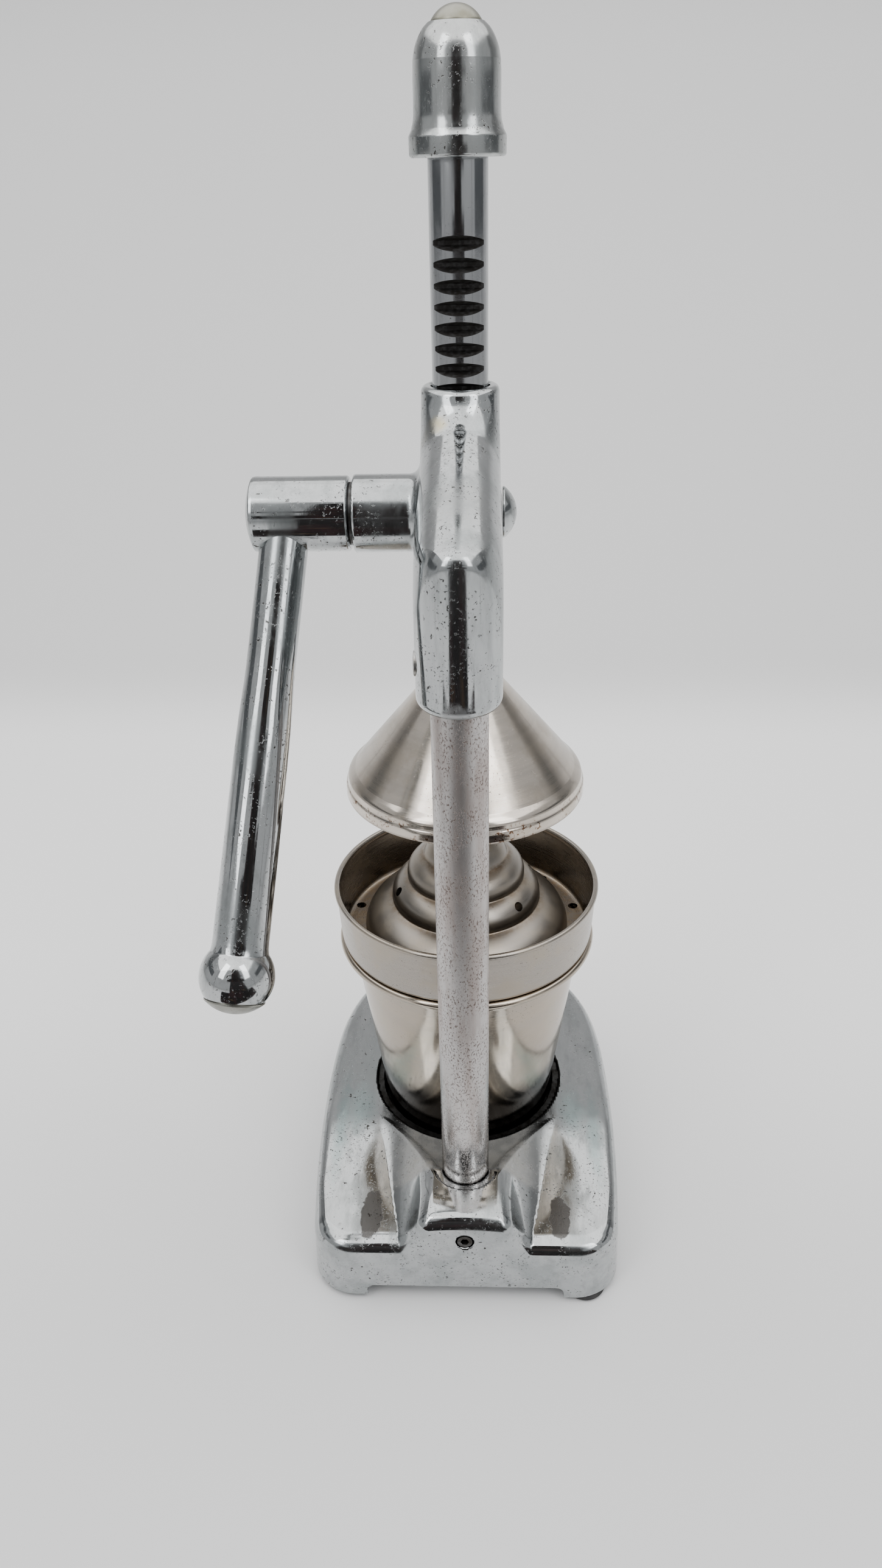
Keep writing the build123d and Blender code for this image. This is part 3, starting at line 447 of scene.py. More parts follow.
def base_field(x, y, z):
    """Base casting: block and saddle, hollow below, with its well, sockets, relief and screw hole."""
    body = round_max(base_block(x, y, z), BASE_BOTTOM - z, 0.6)
    body = round_max(body, -base_hollow(x, y, z), 0.5)
    body = round_max(body, -well_field(x, y, z), 0.8)
    around = np.hypot(x, y - COLUMN_Y)
    body = round_max(body, -np.maximum(around - SEAT_R, SEAT_Z - z), 0.8)
    body = round_max(body, -np.maximum(around - COLUMN_R - 0.25, COLUMN_Z[0] - 1 - z), 0.5)
    half, height = RELIEF
    relief = round_max(np.abs(x) - half, z - height, 3.0)
    body = round_max(body, -np.maximum(relief, REAR_WALL_Y - y), 0.6)
    hole_r, hole_z = SCREW_HOLE
    screw = np.maximum(np.hypot(x, z - hole_z) - hole_r, REAR_WALL_Y - y)
    body = round_max(body, -screw, 0.5)
    socket_r, depth = FOOT_SOCKET
    for fx, fy in FEET:
        body = np.maximum(body, -np.maximum(np.hypot(x - fx, y - fy) - socket_r, z - depth))
    return body


# ======================= Head casting =======================
def head_profile(x, y, z):
    """Side view of the head: neck, hollow blend, sloping back and upright rear, softer to the flanks."""
    (y0, z0), (y1, z1) = RIDGE_START, RIDGE_END
    length = math.hypot(y1 - y0, z1 - z0)
    slope = ((z - z0) * (y1 - y0) - (y - y0) * (z1 - z0)) / length
    back = round_min(y - NECK_R, slope, NECK_BLEND)
    middle, added = CREASE
    crease = middle + added * np.clip(np.abs(x) / HEAD_REAR_R, 0, 1) ** 3
    return round_max(back, y - (COLUMN_Y + HEAD_REAR_R), crease)


def head_field(x, y, z):
    """Head casting: round-sided body and bearing boss, bored for the rack, gear, shaft and column."""
    half = NECK_R + (HEAD_REAR_R - NECK_R) * np.clip(y / COLUMN_Y, 0, 1)
    rear = np.maximum(head_profile(x, y, z) + half, 0)
    across = np.hypot(x, np.maximum(rear, np.maximum(-y, 0)))
    boss_r = np.hypot(y - PINION_Y, z - PINION_Z)
    boss = round_max(np.maximum(boss_r - BOSS_R, -x), x - BOSS_END_X, 0.7)
    body = round_min(across - half, boss, 3.5)
    body = round_max(body, z - NECK_TOP_Z, 1.9)
    body = round_max(body, HEAD_BOTTOM_Z - z, 4.2)
    body = round_max(body, RACK_R + 0.45 - np.hypot(x, y), 0.5)
    below = np.maximum(np.abs(y - PINION_Y) - GEAR_ROOM_R, z - PINION_Z)
    room = np.minimum(boss_r - GEAR_ROOM_R, below)
    body = np.maximum(body, -np.maximum(room, np.abs(x) - GEAR_ROOM_HALF))
    body = np.maximum(body, -np.maximum(boss_r - SHAFT_BORE_R, SHAFT_BORE_END_X - x))
    column = np.maximum(np.hypot(x, y - COLUMN_Y) - COLUMN_R - 0.1, z - COLUMN_Z[1])
    return round_max(body, -column, 0.4)


# ======================= Rack bar =======================
def notch_cutter(bm, z):
    """Tapered gap between two rack teeth."""
    slant = math.tan(TOOTH_ANGLE)
    root = PITCH / 4 - (PITCH_LINE_Y - GAP_ROOT_Y) * slant
    mouth = PITCH / 4 + (GAP_OPEN_Y - PITCH_LINE_Y) * slant
    section = [(GAP_ROOT_Y, -root), (GAP_OPEN_Y, -mouth), (GAP_OPEN_Y, mouth), (GAP_ROOT_Y, root)]
    reach = RACK_R + 1.5
    ends = [[bm.verts.new(Vector((x, y, z + h)) * MM) for y, h in section] for x in (-reach, reach)]
    bm.faces.new(ends[0])
    bm.faces.new(ends[1][::-1])
    for i in range(4):
        j = (i + 1) % 4
        bm.faces.new([ends[0][j], ends[0][i], ends[1][i], ends[1][j]])


def cut(obj, cutter):
    """Takes cutter away from obj and applies it."""
    mod = obj.modifiers.new("cut", "BOOLEAN")
    mod.operation = "DIFFERENCE"
    mod.solver = "EXACT"
    mod.object = cutter
    depsgraph = bpy.context.evaluated_depsgraph_get()
    mesh = bpy.data.meshes.new_from_object(obj.evaluated_get(depsgraph))
    obj.modifiers.remove(mod)
    old = obj.data
    obj.data = mesh
    bpy.data.meshes.remove(old)
    bpy.data.objects.remove(cutter)
    return obj


def sharpen(obj, angle):
    """Smooth shading with edges above the given angle kept sharp."""
    obj.data.shade_smooth()
    obj.data.set_sharp_from_angle(angle=math.radians(angle))
    return obj


def rack_bar():
    """Round bar with tooth gaps, a seat for the cone below and a spigot for the cap above."""
    seat = [(0, 236.0), (5.0, 236.0), (5.0, 243.5), (RACK_R, 243.5)]
    spigot = [(RACK_R, 430.0), (4.0, 430.0), (4.0, 442.5), (0, 442.5)]
    bar = lathe("rack_bar_skin", soften(seat + spigot, 0.4, 3), segments=128)
    bm = bmesh.new()
    for i in range(GAP_COUNT):
        notch_cutter(bm, PINION_Z + (GAPS_ABOVE_PINION - i) * PITCH)
    bmesh.ops.recalc_face_normals(bm, faces=bm.faces)
    cut(bar, finish_mesh(bm, "notches"))
    return sharpen(bar, 25)


# ======================= Turned and spun pieces =======================
def column_skin():
    """Plain round column."""
    low, high = COLUMN_Z
    outline = soften([(0, low), (COLUMN_R, low), (COLUMN_R, high), (0, high)], 0.8)
    return lathe("column_skin", outline, [Matrix.Translation((0, COLUMN_Y, 0))], 160)


def hub_skin():
    """Hub with a shallow domed end."""
    outline = [(0, 37.3), (11.8, 37.3), (12.6, 38.0), (12.6, 69.0)]
    outline = soften(outline + [(12.45, 70.0)] + cap_arc(12.2, 70.3, 2.6), 0.7)
    return lathe("lever_hub_skin", outline, [along_x()], 160)


def rod_outline():
    """Lever: slim upper half, soft step to the thicker grip, neck and ball, flat end with a recess."""
    slim = [(8.3, 8.0), (8.3, 30.0), (8.35, 52.0)]
    grip = [(8.65, 62.0), (9.1, 74.0), (9.35, 95.0), (9.6, 140.0)]
    body = curve_through(slim + grip, 10)
    neck = curve_through([(9.6, 145.5), (9.72, 148.2)], 3)
    start = math.asin(10.0 / BALL_R)
    end = math.pi - math.asin(PLUG_R / BALL_R)
    angles = [start + (end - start) * i / 26 for i in range(27)]
    ball = [(BALL_R * math.sin(a), BALL_S - BALL_R * math.cos(a)) for a in angles]
    flat = ball[-1][1]
    pocket_r = PLUG_R - 0.6
    rim = [(PLUG_R - 0.55, flat), (pocket_r, flat - 0.6), (pocket_r, flat - 2.5), (0, flat - 2.5)]
    return [(0, 3.4), (3.2, 3.4), (3.2, 8.0)] + soften(body + neck + ball, 2.5) + rim, flat


def rod_skin():
    """Lever rod with its ball end."""
    outline, _ = rod_outline()
    return lathe("lever_rod_skin", outline, [lever_place()], 160)


def plug_skin():
    """Domed plug in the ball's flat end."""
    _, flat = rod_outline()
    edge = PLUG_R - 0.1
    stem = PLUG_R - 0.8
    outline = [(0, flat - 3), (stem, flat - 3), (stem, flat + 0.45), (edge, flat + 0.45), (edge, flat + 0.9)]
    dome = cap_arc(edge - 0.02, flat + 0.95, 4.2)
    return lathe("handle_end_plug_skin", outline + dome, [lever_place()], 128)


def button_skin():
    """Domed button on the shaft's far end."""
    edge, rise = 8.5, 4.2
    outline = [(0, 0), (edge, 0)] + cap_arc(edge, 0.6, rise)
    return lathe("shaft_end_button_skin", soften(outline, 0.3), [along_x(-14.25, flip=True)], 96)


def ring_outline(inner, outer, low, high, rounding):
    """Closed outline of a ring with softened corners."""
    corners = [(inner, low), (outer, low), (outer, high), (inner, high), (inner, low)]
    return soften(corners, rounding, 3)[:-1]


def washer_skin():
    """Thrust washer between boss and hub."""
    outline = ring_outline(6.1, 10.5, 36.05, 37.25, 0.15)
    return lathe("thrust_washer_skin", outline, [along_x()], 96, closed=True)


def backing_washer_skin():
    """Washer between the bar's shoulder and the cone."""
    outline = ring_outline(5.05, 12.0, 241.5, 243.5, 0.3)
    return lathe("cone_backing_washer_skin", outline, segments=96, closed=True)


def cap_skin():
    """Bell-shaped cap with a collar, and a pocket for its plug."""
    z = 411.6
    collar = soften([(9.6, z + 1.0), (9.6, z), (15.1, z), (15.15, z + 5.8), (14.2, z + 7.6)], 1.1)
    waist = (13.25, z + 25.4)
    body = [(14.1, z + 8.0), (13.55, z + 10.5), (13.4, z + 15.0), (13.4, z + 21.0), waist]
    top = [waist, (12.75, z + 28.2), (11.7, z + 30.9), (10.2, z + 33.3), (8.5, z + 34.9)]
    pocket = [(7.8, z + 34.9), (7.75, z + 34.5), (7.75, z + 25.5), (4.2, z + 25.5)]
    bore = [(4.2, z + 18.4), (9.6, z + 18.4)]
    outline = collar + curve_through(body, 6) + curve_through(top, 6) + pocket + bore
    return lathe("top_cap_skin", outline, segments=160, closed=True)


def cap_plug_skin():
    """Domed plug in the top of the cap."""
    edge = 7.7
    outline = [(0, 443.6), (edge, 443.6), (edge, 446.6)] + cap_arc(edge, 446.75, 4.5)
    return lathe("top_cap_plug_skin", outline, segments=96)


def sheet(outline, thickness):
    """The given outer line of a skin, and the same line moved inwards."""
    pts = [Vector(p) for p in outline]
    inner = []
    for i, p in enumerate(pts):
        a = pts[max(i - 1, 0)]
        b = pts[min(i + 1, len(pts) - 1)]
        along = (b - a).normalized()
        inner.append((max(p.x + along.y * -thickness, 0.0), p.y + along.x * thickness))
    return outline, inner


def cone_skin():
    """Press cone: straight flank, rounded shoulder and a short rim band."""
    shoulder = [(43.6, 200.7), (45.5, 199.0), (46.5, 197.6), (46.75, 196.3)]
    band = [(46.95, 195.2), (47.5, 193.9), (47.6, 190.7)]
    flank = [(10.4, 241.4)] + [(11.4 + i * 4.0, 240.3 - i * 4.9) for i in range(8)]
    top = [(5.1, 241.4), (9.6, 241.4)]
    outer = soften(top + flank + curve_through(shoulder + band, 6), 0.9)
    outer_line, inner_line = sheet(outer, -0.9)
    rim = [(47.45, 190.35), (47.0, 190.35)]
    return lathe("press_cone_skin", outer_line + rim + inner_line[::-1], segments=192, closed=True)


def holes(places, radius, length, segments=40):
    """One cutter of several round bars."""
    bar = [(0, -length), (radius, -length), (radius, length), (0, length)]
    bm = bmesh.new()
    for place in places:
        lathe_mesh(bm, bar, place, segments, False)
    return finish_mesh(bm, "bores")


def rolled_bead(centre, radius, start, sweep, steps):
    """Points round a rolled edge, in an outline's (radius, height) plane. Angles are in degrees."""
    r, z = centre
    angles = [math.radians(start + sweep * i / steps) for i in range(steps + 1)]
    return [(r + radius * math.cos(a), z + radius * math.sin(a)) for a in angles]


def bowl_skin():
    """Strainer bowl: steep wall, rolled rim, floor with drain holes and a locating ring beneath."""
    floor, foot = STRAINER_FLOOR_Z, STRAINER_FLOOR_Z - 1.0
    corner = [(52.0, foot), (52.9, 120.8), (53.4, 121.8), (53.7, 124.0)]
    wall = [(54.1, 130.0), (54.5, 137.0), (54.75, 142.6)]
    bead = rolled_bead((54.55, 143.8), 1.2, -75, 285, 20)
    inner_wall = [(53.75, 142.6), (53.4, 137.0), (53.0, 130.0), (52.5, 124.4)]
    inner_corner = [(51.9, 122.4), (50.6, 121.5), (48.0, floor)]
    opening = [(40.0, floor), (30.0, floor), (30.0, foot), (40.0, foot)]
    ring = [(45.1, foot), (45.1, 113.6), (45.9, 113.5), (46.0, foot - 0.05), (50.0, foot)]
    outline = curve_through(corner + wall, 5) + bead
    outline += curve_through(inner_wall + inner_corner, 5) + opening + ring
    bowl = lathe("strainer_bowl_skin", outline, segments=192, closed=True)
    places = []
    for i in range(DRAIN_HOLES):
        a = 2 * math.pi * (i + 0.5) / DRAIN_HOLES
        places.append(Matrix.Translation((DRAIN_RING_R * math.cos(a), DRAIN_RING_R * math.sin(a), 121)))
    cut(bowl, holes(places, DRAIN_HOLE_R, 3.0))
    return sharpen(bowl, 38)


def reamer_line(inset):
    """Four swelling tiers that meet in soft grooves, under a rounded top."""
    points = []
    for (r0, h0), (r1, h1) in zip(REAMER_TIERS, REAMER_TIERS[1:]):
        slope = math.atan2(h1 - h0, r0 - r1)
        for i in range(14):
            t = i / 14
            nudge = 0.19 * math.hypot(r0 - r1, h1 - h0) * math.sin(math.pi * t**0.85) ** 0.9
            r = r0 + (r1 - r0) * t + nudge * math.sin(slope)
            z = STRAINER_FLOOR_Z + h0 + (h1 - h0) * t + nudge * math.cos(slope)
            points.append((r, z))
    top_r, top_h = REAMER_TIERS[-1]
    points += cap_arc(top_r, STRAINER_FLOOR_Z + top_h, REAMER_TOP - top_h, 18)
    kept = [(max(r - inset, 0.0), z - 0.5 * inset) for r, z in points]
    kept[-1] = (0.0, kept[-1][1])
    return kept


def reamer_skin():
    """Spun reamer with juice holes in its second tier."""
    outline = soften(reamer_line(0.0), 1.6, 4) + reamer_line(REAMER_SKIN)[::-1]
    reamer = lathe("reamer_cone_skin", outline, segments=192)
    hole_r, hole_h = JUICE_HOLE_AT
    tilt = Matrix.Rotation(math.radians(JUICE_HOLE_TILT), 4, "Y")
    places = []
    for i in range(JUICE_HOLES):
        turn = Matrix.Rotation(math.radians(360 / JUICE_HOLES * i + JUICE_HOLE_TURN), 4, "Z")
        places.append(turn @ Matrix.Translation((hole_r, 0, STRAINER_FLOOR_Z + hole_h)) @ tilt)
    cut(reamer, holes(places, JUICE_HOLE_R, 5.0))
    return sharpen(reamer, 40)


def cup_skin():
    """Tumbler: rounded foot, straight flaring wall, flared lip with a rolled bead."""
    floor = [(0, 17.9), (24.0, 17.6), (28.0, 17.2), (31.0, 17.3)]
    wall_start, wall_end = (37.5, 30.0), (48.4, 112.0)
    corner = curve_through([(31.0, 17.3), (33.6, 18.4), (35.3, 20.9), (36.3, 24.6), wall_start], 6)
    wall = []
    for i in range(1, 12):
        t = i / 12
        wall.append((between((wall_start[0], wall_end[0]), t), between((wall_start[1], wall_end[1]), t)))
    lip = curve_through([wall_end, (49.3, 114.6), (50.6, 116.6), (51.6, 117.5)], 5)
    skin = floor + corner[1:] + wall + lip
    inner = [(max(r - 0.8, 0), z + (0.8 if r < 34 else 0.25)) for r, z in skin]
    inner[0] = (0.0, inner[0][1])
    bead = rolled_bead((52.9, 118.6), 1.7, 200, 300, 18)
    return lathe("juice_cup_skin", soften(skin, 1.5, 3) + bead + inner[::-1], segments=192)


def foot_skin():
    """Four rubber pads; the one at the rear corner away from the lever has slipped outwards."""
    recess = [(2.0, 2.0), (4.2, 2.0)]
    pad = [(4.2, 0.05), (7.6, 0.0), (8.5, 1.5), (7.4, 2.6), (7.4, 3.6), (2.0, 3.6)]
    outline = soften(recess[1:] + pad + recess, 0.4, 4)
    slipped = {FEET[0]: Vector((-0.3, 4.5, 0))}
    places = [Matrix.Translation(Vector((*foot, 0)) + slipped.get(foot, Vector())) for foot in FEET]
    return lathe("rubber_feet_skin", outline[:-1], places, 64, closed=True)


def head_screw_skin():
    """Set screw in the head's flank, with a socket in its low head."""
    turn = Matrix.Translation((0, COLUMN_Y, HEAD_SCREW_Z)) @ Matrix.Rotation(math.radians(90), 4, "Y")
    shank = [(0, 9.7), (3.0, 9.7), (3.0, 13.0), (4.2, 13.0)]
    socket = [(4.2, 14.45), (1.9, 14.5), (1.9, 13.4), (0, 13.4)]
    return lathe("head_set_screw_skin", soften(shank + socket, 0.35, 4), [turn], 64)


# ======================= Materials =======================
class Finish:
    """Small builder for one procedural material. Sizes in its patterns are millimetres on the piece."""

    def __init__(self, name):
        self.material = bpy.data.materials.new(name)
        self.material.use_nodes = True
        self.tree = self.material.node_tree
        self.shader = next(n for n in self.tree.nodes if n.type == "BSDF_PRINCIPLED")
        scaled = {0: self.node("TexCoord", {}).outputs["Object"], "Scale": 1 / MM}
        self.mm = self.node("VectorMath", scaled, operation="SCALE").outputs[0]

    def feed(self, socket, value):
        """Links a node output to the socket, or sets a plain value."""
        if isinstance(value, bpy.types.NodeSocket):
            self.tree.links.new(value, socket)
        else:
            socket.default_value = value

    def node(self, kind, inputs, **settings):
        """New shader node with the given settings, and its inputs by name or number."""
        node = self.tree.nodes.new("ShaderNode" + kind)
        for key, value in settings.items():
            setattr(node, key, value)
        for key, value in inputs.items():
            self.feed(node.inputs[key], value)
        return node

    def maths(self, operation, *values, kind="Math"):
        """Result of a maths node: kind is "Math" for numbers and "VectorMath" for vectors."""
        return self.node(kind, dict(enumerate(values)), operation=operation).outputs[0]

    def times(self, *values):
        """Product of two or more numbers."""
        product = values[0]
        for value in values[1:]:
            product = self.maths("MULTIPLY", product, value)
        return product

    def plus(self, a, b):
        """Sum of two numbers."""
        return self.maths("ADD", a, b)

    def distance(self, a, b):
        """Absolute difference of two numbers."""
        return self.maths("ABSOLUTE", self.maths("SUBTRACT", a, b))

    def split(self):
        """X, Y and Z on the piece, in millimetres."""
        return self.node("SeparateXYZ", {0: self.mm}).outputs

    def height(self):
        """Z on the piece, in millimetres."""
        return self.split()[2]

    def radius(self):
        """Distance from the Z axis in millimetres."""
        x, y, _ = self.split()
        return self.maths("SQRT", self.plus(self.times(x, x), self.times(y, y)))

    def join(self, x, y, z):
        """Vector from three numbers."""
        return self.node("CombineXYZ", {0: x, 1: y, 2: z}).outputs[0]

    def noise(self, size, detail=4.0, rough=0.55, where=None, stretch=None, shift=0.0):
        """Noise whose features are about size millimetres across, 0 to 1 around 0.5."""
        vector = where or self.mm
        if stretch:
            vector = self.maths("MULTIPLY", vector, stretch, kind="VectorMath")
        if shift:
            vector = self.maths("ADD", vector, (shift, shift * 0.7, -shift), kind="VectorMath")
        inputs = {"Vector": vector, "Scale": 1.0 / size, "Detail": detail, "Roughness": rough}
        return self.node("TexNoise", inputs).outputs["Fac"]

    def ramp(self, value, low, high, out_low=0.0, out_high=1.0):
        """Smooth step of value: out_low at low, out_high at high."""
        inputs = {"Value": value, "From Min": low, "From Max": high, "To Min": out_low, "To Max": out_high}
        return self.node("MapRange", inputs, interpolation_type="SMOOTHSTEP").outputs["Result"]

    def mix(self, amount, a, b):
        """Colour a, replaced by colour b as far as amount says."""
        node = self.node("Mix", {"Factor": amount}, data_type="RGBA")
        colours = [s for s in node.inputs if s.type == "RGBA"]
        self.feed(colours[0], a)
        self.feed(colours[1], b)
        return next(s for s in node.outputs if s.type == "RGBA")

    def bump(self, height, distance):
        """Adds relief of the given height in millimetres on top of what is there."""
        node = self.node("Bump", {"Strength": 1.0, "Distance": distance * MM, "Height": height})
        socket = self.shader.inputs["Normal"]
        if socket.is_linked:
            self.feed(node.inputs["Normal"], socket.links[0].from_socket)
        self.feed(socket, node.outputs["Normal"])

    def specks(self, size, low, high, patch_size=None, stretch=None, shift=0.0, patch=(0.45, 0.62)):
        """Small marks, gathered in patches when patch_size is given."""
        marks = self.ramp(self.noise(size, 3.0, 0.6, stretch=stretch, shift=shift), low, high)
        if patch_size:
            gather = self.ramp(self.noise(patch_size, 3.0, shift=shift + 7), *patch)
            marks = self.times(marks, gather)
        return marks

    def blob(self, centre, size, soft, ragged=0.9):
        """1 inside a ragged patch round a point, 0 outside. size is the half width on each axis."""
        away = self.maths("SUBTRACT", self.mm, centre, kind="VectorMath")
        away = self.maths("DIVIDE", away, size, kind="VectorMath")
        reach = self.node("VectorMath", {0: away}, operation="LENGTH").outputs["Value"]
        edge = self.plus(reach, self.times(self.noise(5.0, 4.0, 0.65), ragged))
        return self.ramp(edge, 1.0 - soft + ragged / 2, 1.0 + ragged / 2, 1.0, 0.0)

    def start(self, colour, rough):
        """Sets the colour and the roughness under all layers."""
        self.colour = colour
        self.rough = rough

    def layer(self, where, tint, strength=1.0, dull=0.0):
        """Covers the finish with a tint where the pattern is 1, and roughens it there."""
        self.colour = self.mix(self.times(where, strength), self.colour, tint)
        if dull:
            self.rough = self.plus(self.rough, self.times(where, dull))

    def finish(self, metallic):
        """Joins colour, metal and roughness to the shader and returns the material."""
        inputs = {"Base Color": self.colour, "Metallic": metallic, "Roughness": self.rough}
        for name, value in inputs.items():
            self.feed(self.shader.inputs[name], value)
        return self.material


# Plating and steel, in linear colour
PLATE = (0.455, 0.468, 0.472, 1)
PLATE_HAZE = (0.30, 0.325, 0.325, 1)
PLATE_STREAK = (0.25, 0.26, 0.26, 1)
PIT = (0.04, 0.036, 0.032, 1)
# Painted shade, with some dark deposit, for the well
WELL_SHADE_AND_GRIME = (0.010, 0.008, 0.006, 1)
# Painted reflection of the cup, as a dull beige tint in the channel
CUP_REFLECTION_TINT = (0.33, 0.32, 0.295, 1)
# Painted shade for the foot of the cup
CUP_SHADE = (0.012, 0.009, 0.007, 1)
GREASE = (0.018, 0.016, 0.014, 1)
RUST = (0.13, 0.055, 0.02, 1)
STEEL_STAIN = (0.42, 0.36, 0.28, 1)
STEEL_RING = (0.34, 0.32, 0.30, 1)
STEEL_SPECK = (0.07, 0.055, 0.045, 1)


def plating_pits(f):
    """Small and larger pits, each kind in its own patches."""
    small = f.specks(1.0, 0.61, 0.66, 10.0, patch=(0.42, 0.60))
    big = f.specks(2.2, 0.655, 0.69, 24.0, shift=31.0, patch=(0.42, 0.58))
    return f.maths("MAXIMUM", small, big)


def chrome(name, tone=PLATE, dull=0.07, wave=0.05, marks=(), shade_and_grime=None, painted_reflection=None, grain=(1.0, 1.0, 0.3)):
    """Old bright plating: soft waves, fine pits, dull streaky haze and faint scuffs."""
    f = Finish(name)
    f.bump(f.noise(26.0, 2.0, 0.4), wave * 4)
    f.bump(f.noise(0.7, 3.0, 0.6), 0.0035)
    pits = plating_pits(f)
    f.bump(f.times(pits, -1.0), 0.035)
    haze = f.ramp(f.noise(17.0, 6.0, 0.66, stretch=grain, shift=11.0), 0.42, 0.66)
    streaks = f.ramp(f.noise(4.0, 5.0, 0.7, stretch=grain, shift=41.0), 0.44, 0.70)
    scuffs = f.specks(0.8, 0.54, 0.72, 14.0, stretch=grain, shift=3.0)
    f.start(tone, f.plus(f.ramp(haze, 0.0, 1.0, dull, dull + 0.14), f.times(scuffs, 0.12)))
    f.layer(haze, PLATE_HAZE, 0.65)
    f.layer(streaks, PLATE_STREAK, 0.40, 0.05)
    for place, size, tint, roughness, soft in marks:
        f.layer(f.blob(place, size, soft), tint, 0.9, roughness)
    f.layer(pits, PIT, 0.9, 0.2)
    # Painted shade in the well, with some dark deposit
    if shade_and_grime:
        f.layer(shade_and_grime(f), WELL_SHADE_AND_GRIME, 1.0, 0.35)
    # Painted reflection of the cup: a dull beige layer that also takes metal away
    if not painted_reflection:
        return f.finish(1.0)
    cover = painted_reflection(f)
    f.layer(cover, CUP_REFLECTION_TINT, 1.0, 0.25)
    return f.finish(f.ramp(cover, 0.0, 1.0, 1.0, 0.3))


def well_shade_and_grime(f):
    """Painted shade on the wall and floor of the well, with some dark deposit in it."""
    inside = f.times(f.ramp(f.radius(), 43.1, 42.5), f.ramp(f.height(), 34.9, 34.0))
    return f.times(inside, f.ramp(f.noise(5.0, 4.0, 0.6, shift=21.0), 0.30, 0.62, 1.0, 0.9))


def channel_cup_reflection(f):
    """Painted reflection of the cup, laid as a dull beige layer in the channel between the well's rim and
    the column.
    """
    x, y, _ = f.split()
    outside_well = f.ramp(f.radius(), 43.0, 44.0)
    behind_cup = f.ramp(y, 22.0, 30.0)
    facing_cup = f.ramp(y, 70.0, 66.0)
    narrow = f.ramp(f.maths("ABSOLUTE", x), 36.0, 20.0)
    ragged = f.ramp(f.noise(7.0, 4.0, 0.6, shift=17.0), 0.25, 0.65, 1.0, 0.6)
    return f.times(outside_well, behind_cup, facing_cup, narrow, ragged)


def column_finish():
    """Worn plating on the column: streaked, specked brown, and duller above its foot."""
    f = Finish("column_chrome")
    f.bump(f.noise(1.2, 4.0, 0.6), 0.012)
    streak = f.ramp(f.noise(7.0, 5.0, 0.6, stretch=(1.0, 1.0, 0.16)), 0.40, 0.66)
    dots = f.specks(0.65, 0.52, 0.64, 13.0, stretch=(1.0, 1.0, 0.6), patch=(0.33, 0.52))
    pinholes = f.specks(1.3, 0.69, 0.72, 18.0, shift=5.0)
    above_foot = f.ramp(f.height(), 60.0, 130.0)
    f.start((0.53, 0.51, 0.50, 1), f.plus(f.ramp(streak, 0.0, 1.0, 0.15, 0.22), f.times(above_foot, 0.27)))
    f.layer(streak, (0.41, 0.355, 0.33, 1), 0.8)
    f.layer(dots, (0.17, 0.125, 0.105, 1), f.ramp(above_foot, 0, 1, 0.45, 0.8), 0.15)
    f.layer(pinholes, (0.04, 0.035, 0.03, 1), 0.9)
    f.bump(f.times(f.maths("MAXIMUM", dots, pinholes), -1.0), 0.05)
    return f.finish(1.0)


def spun_steel(name, tone, dull, marks, stain=0.5, line=0.010, dent=0.10):
    """Spun stainless steel: fine turning lines, warm stains and a few specks."""
    f = Finish(name)
    rings = f.join(f.radius(), 0.0, f.height())
    lines = f.noise(0.35, 3.0, 0.7, where=rings, shift=2.0)
    broad = f.noise(3.5, 4.0, 0.6, where=rings, shift=9.0)
    cloud = f.ramp(f.noise(15.0, 5.0, 0.6), 0.42, 0.66)
    f.bump(lines, line)
    f.bump(f.noise(14.0, 2.0, 0.4, shift=4.0), dent)
    specks = f.specks(0.8, 0.66, 0.70, 16.0, shift=6.0)
    f.start(tone, f.plus(f.ramp(lines, 0.3, 0.7, dull - 0.03, dull + 0.05), f.times(cloud, 0.08)))
    f.layer(cloud, STEEL_STAIN, stain)
    f.layer(f.ramp(broad, 0.35, 0.7, 0.0, 0.25), STEEL_RING)
    # Each piece's marks; those of the cup and the bowl include painted shade
    marks(f)
    f.layer(specks, STEEL_SPECK, 0.8)
    f.bump(f.times(specks, -1.0), 0.06)
    return f.finish(1.0)


def plain(name, tone, other, metallic, rough, size=1.5, relief=0.02):
    """Small part's finish: two mixed tones, uneven gloss, fine relief."""
    f = Finish(name)
    cloud = f.ramp(f.noise(size * 3, 4.0, 0.6), 0.35, 0.65)
    f.bump(f.noise(size * 0.4, 4.0, 0.6), relief)
    f.start(tone, f.ramp(cloud, 0.0, 1.0, rough * 0.85, min(1.0, rough * 1.25)))
    f.layer(cloud, other)
    return f.finish(metallic)


def bowl_residue_and_shade(f):
    """Brown residue on the floor and the lower wall inside the strainer, and painted shade darkening the
    lower inner wall.
    """
    r, z = f.radius(), f.height()
    inside = f.times(f.ramp(r, 53.6, 53.0), f.ramp(z, 131.0, 122.5))
    ragged = f.ramp(f.noise(4.0, 5.0, 0.7, shift=12.0), 0.38, 0.62)
    f.layer(f.times(inside, ragged), (0.42, 0.32, 0.20, 1), 0.8)
    # Painted shade: the inner wall darker towards the floor
    dark = f.times(f.ramp(r, 53.4, 52.9), f.ramp(z, 138.0, 126.0))
    f.layer(dark, (0.16, 0.13, 0.11, 1), 0.4)


def reamer_marks(f):
    """Grime in the grooves between the tiers."""
    for _, height in REAMER_TIERS[1:]:
        groove = f.ramp(f.distance(f.height(), STRAINER_FLOOR_Z + height), 1.7, 0.1)
        ragged = f.ramp(f.noise(3.0, 5.0, 0.7, shift=height), 0.35, 0.60, 0.35, 1.0)
        f.layer(f.times(groove, ragged), (0.20, 0.15, 0.10, 1), 0.75)


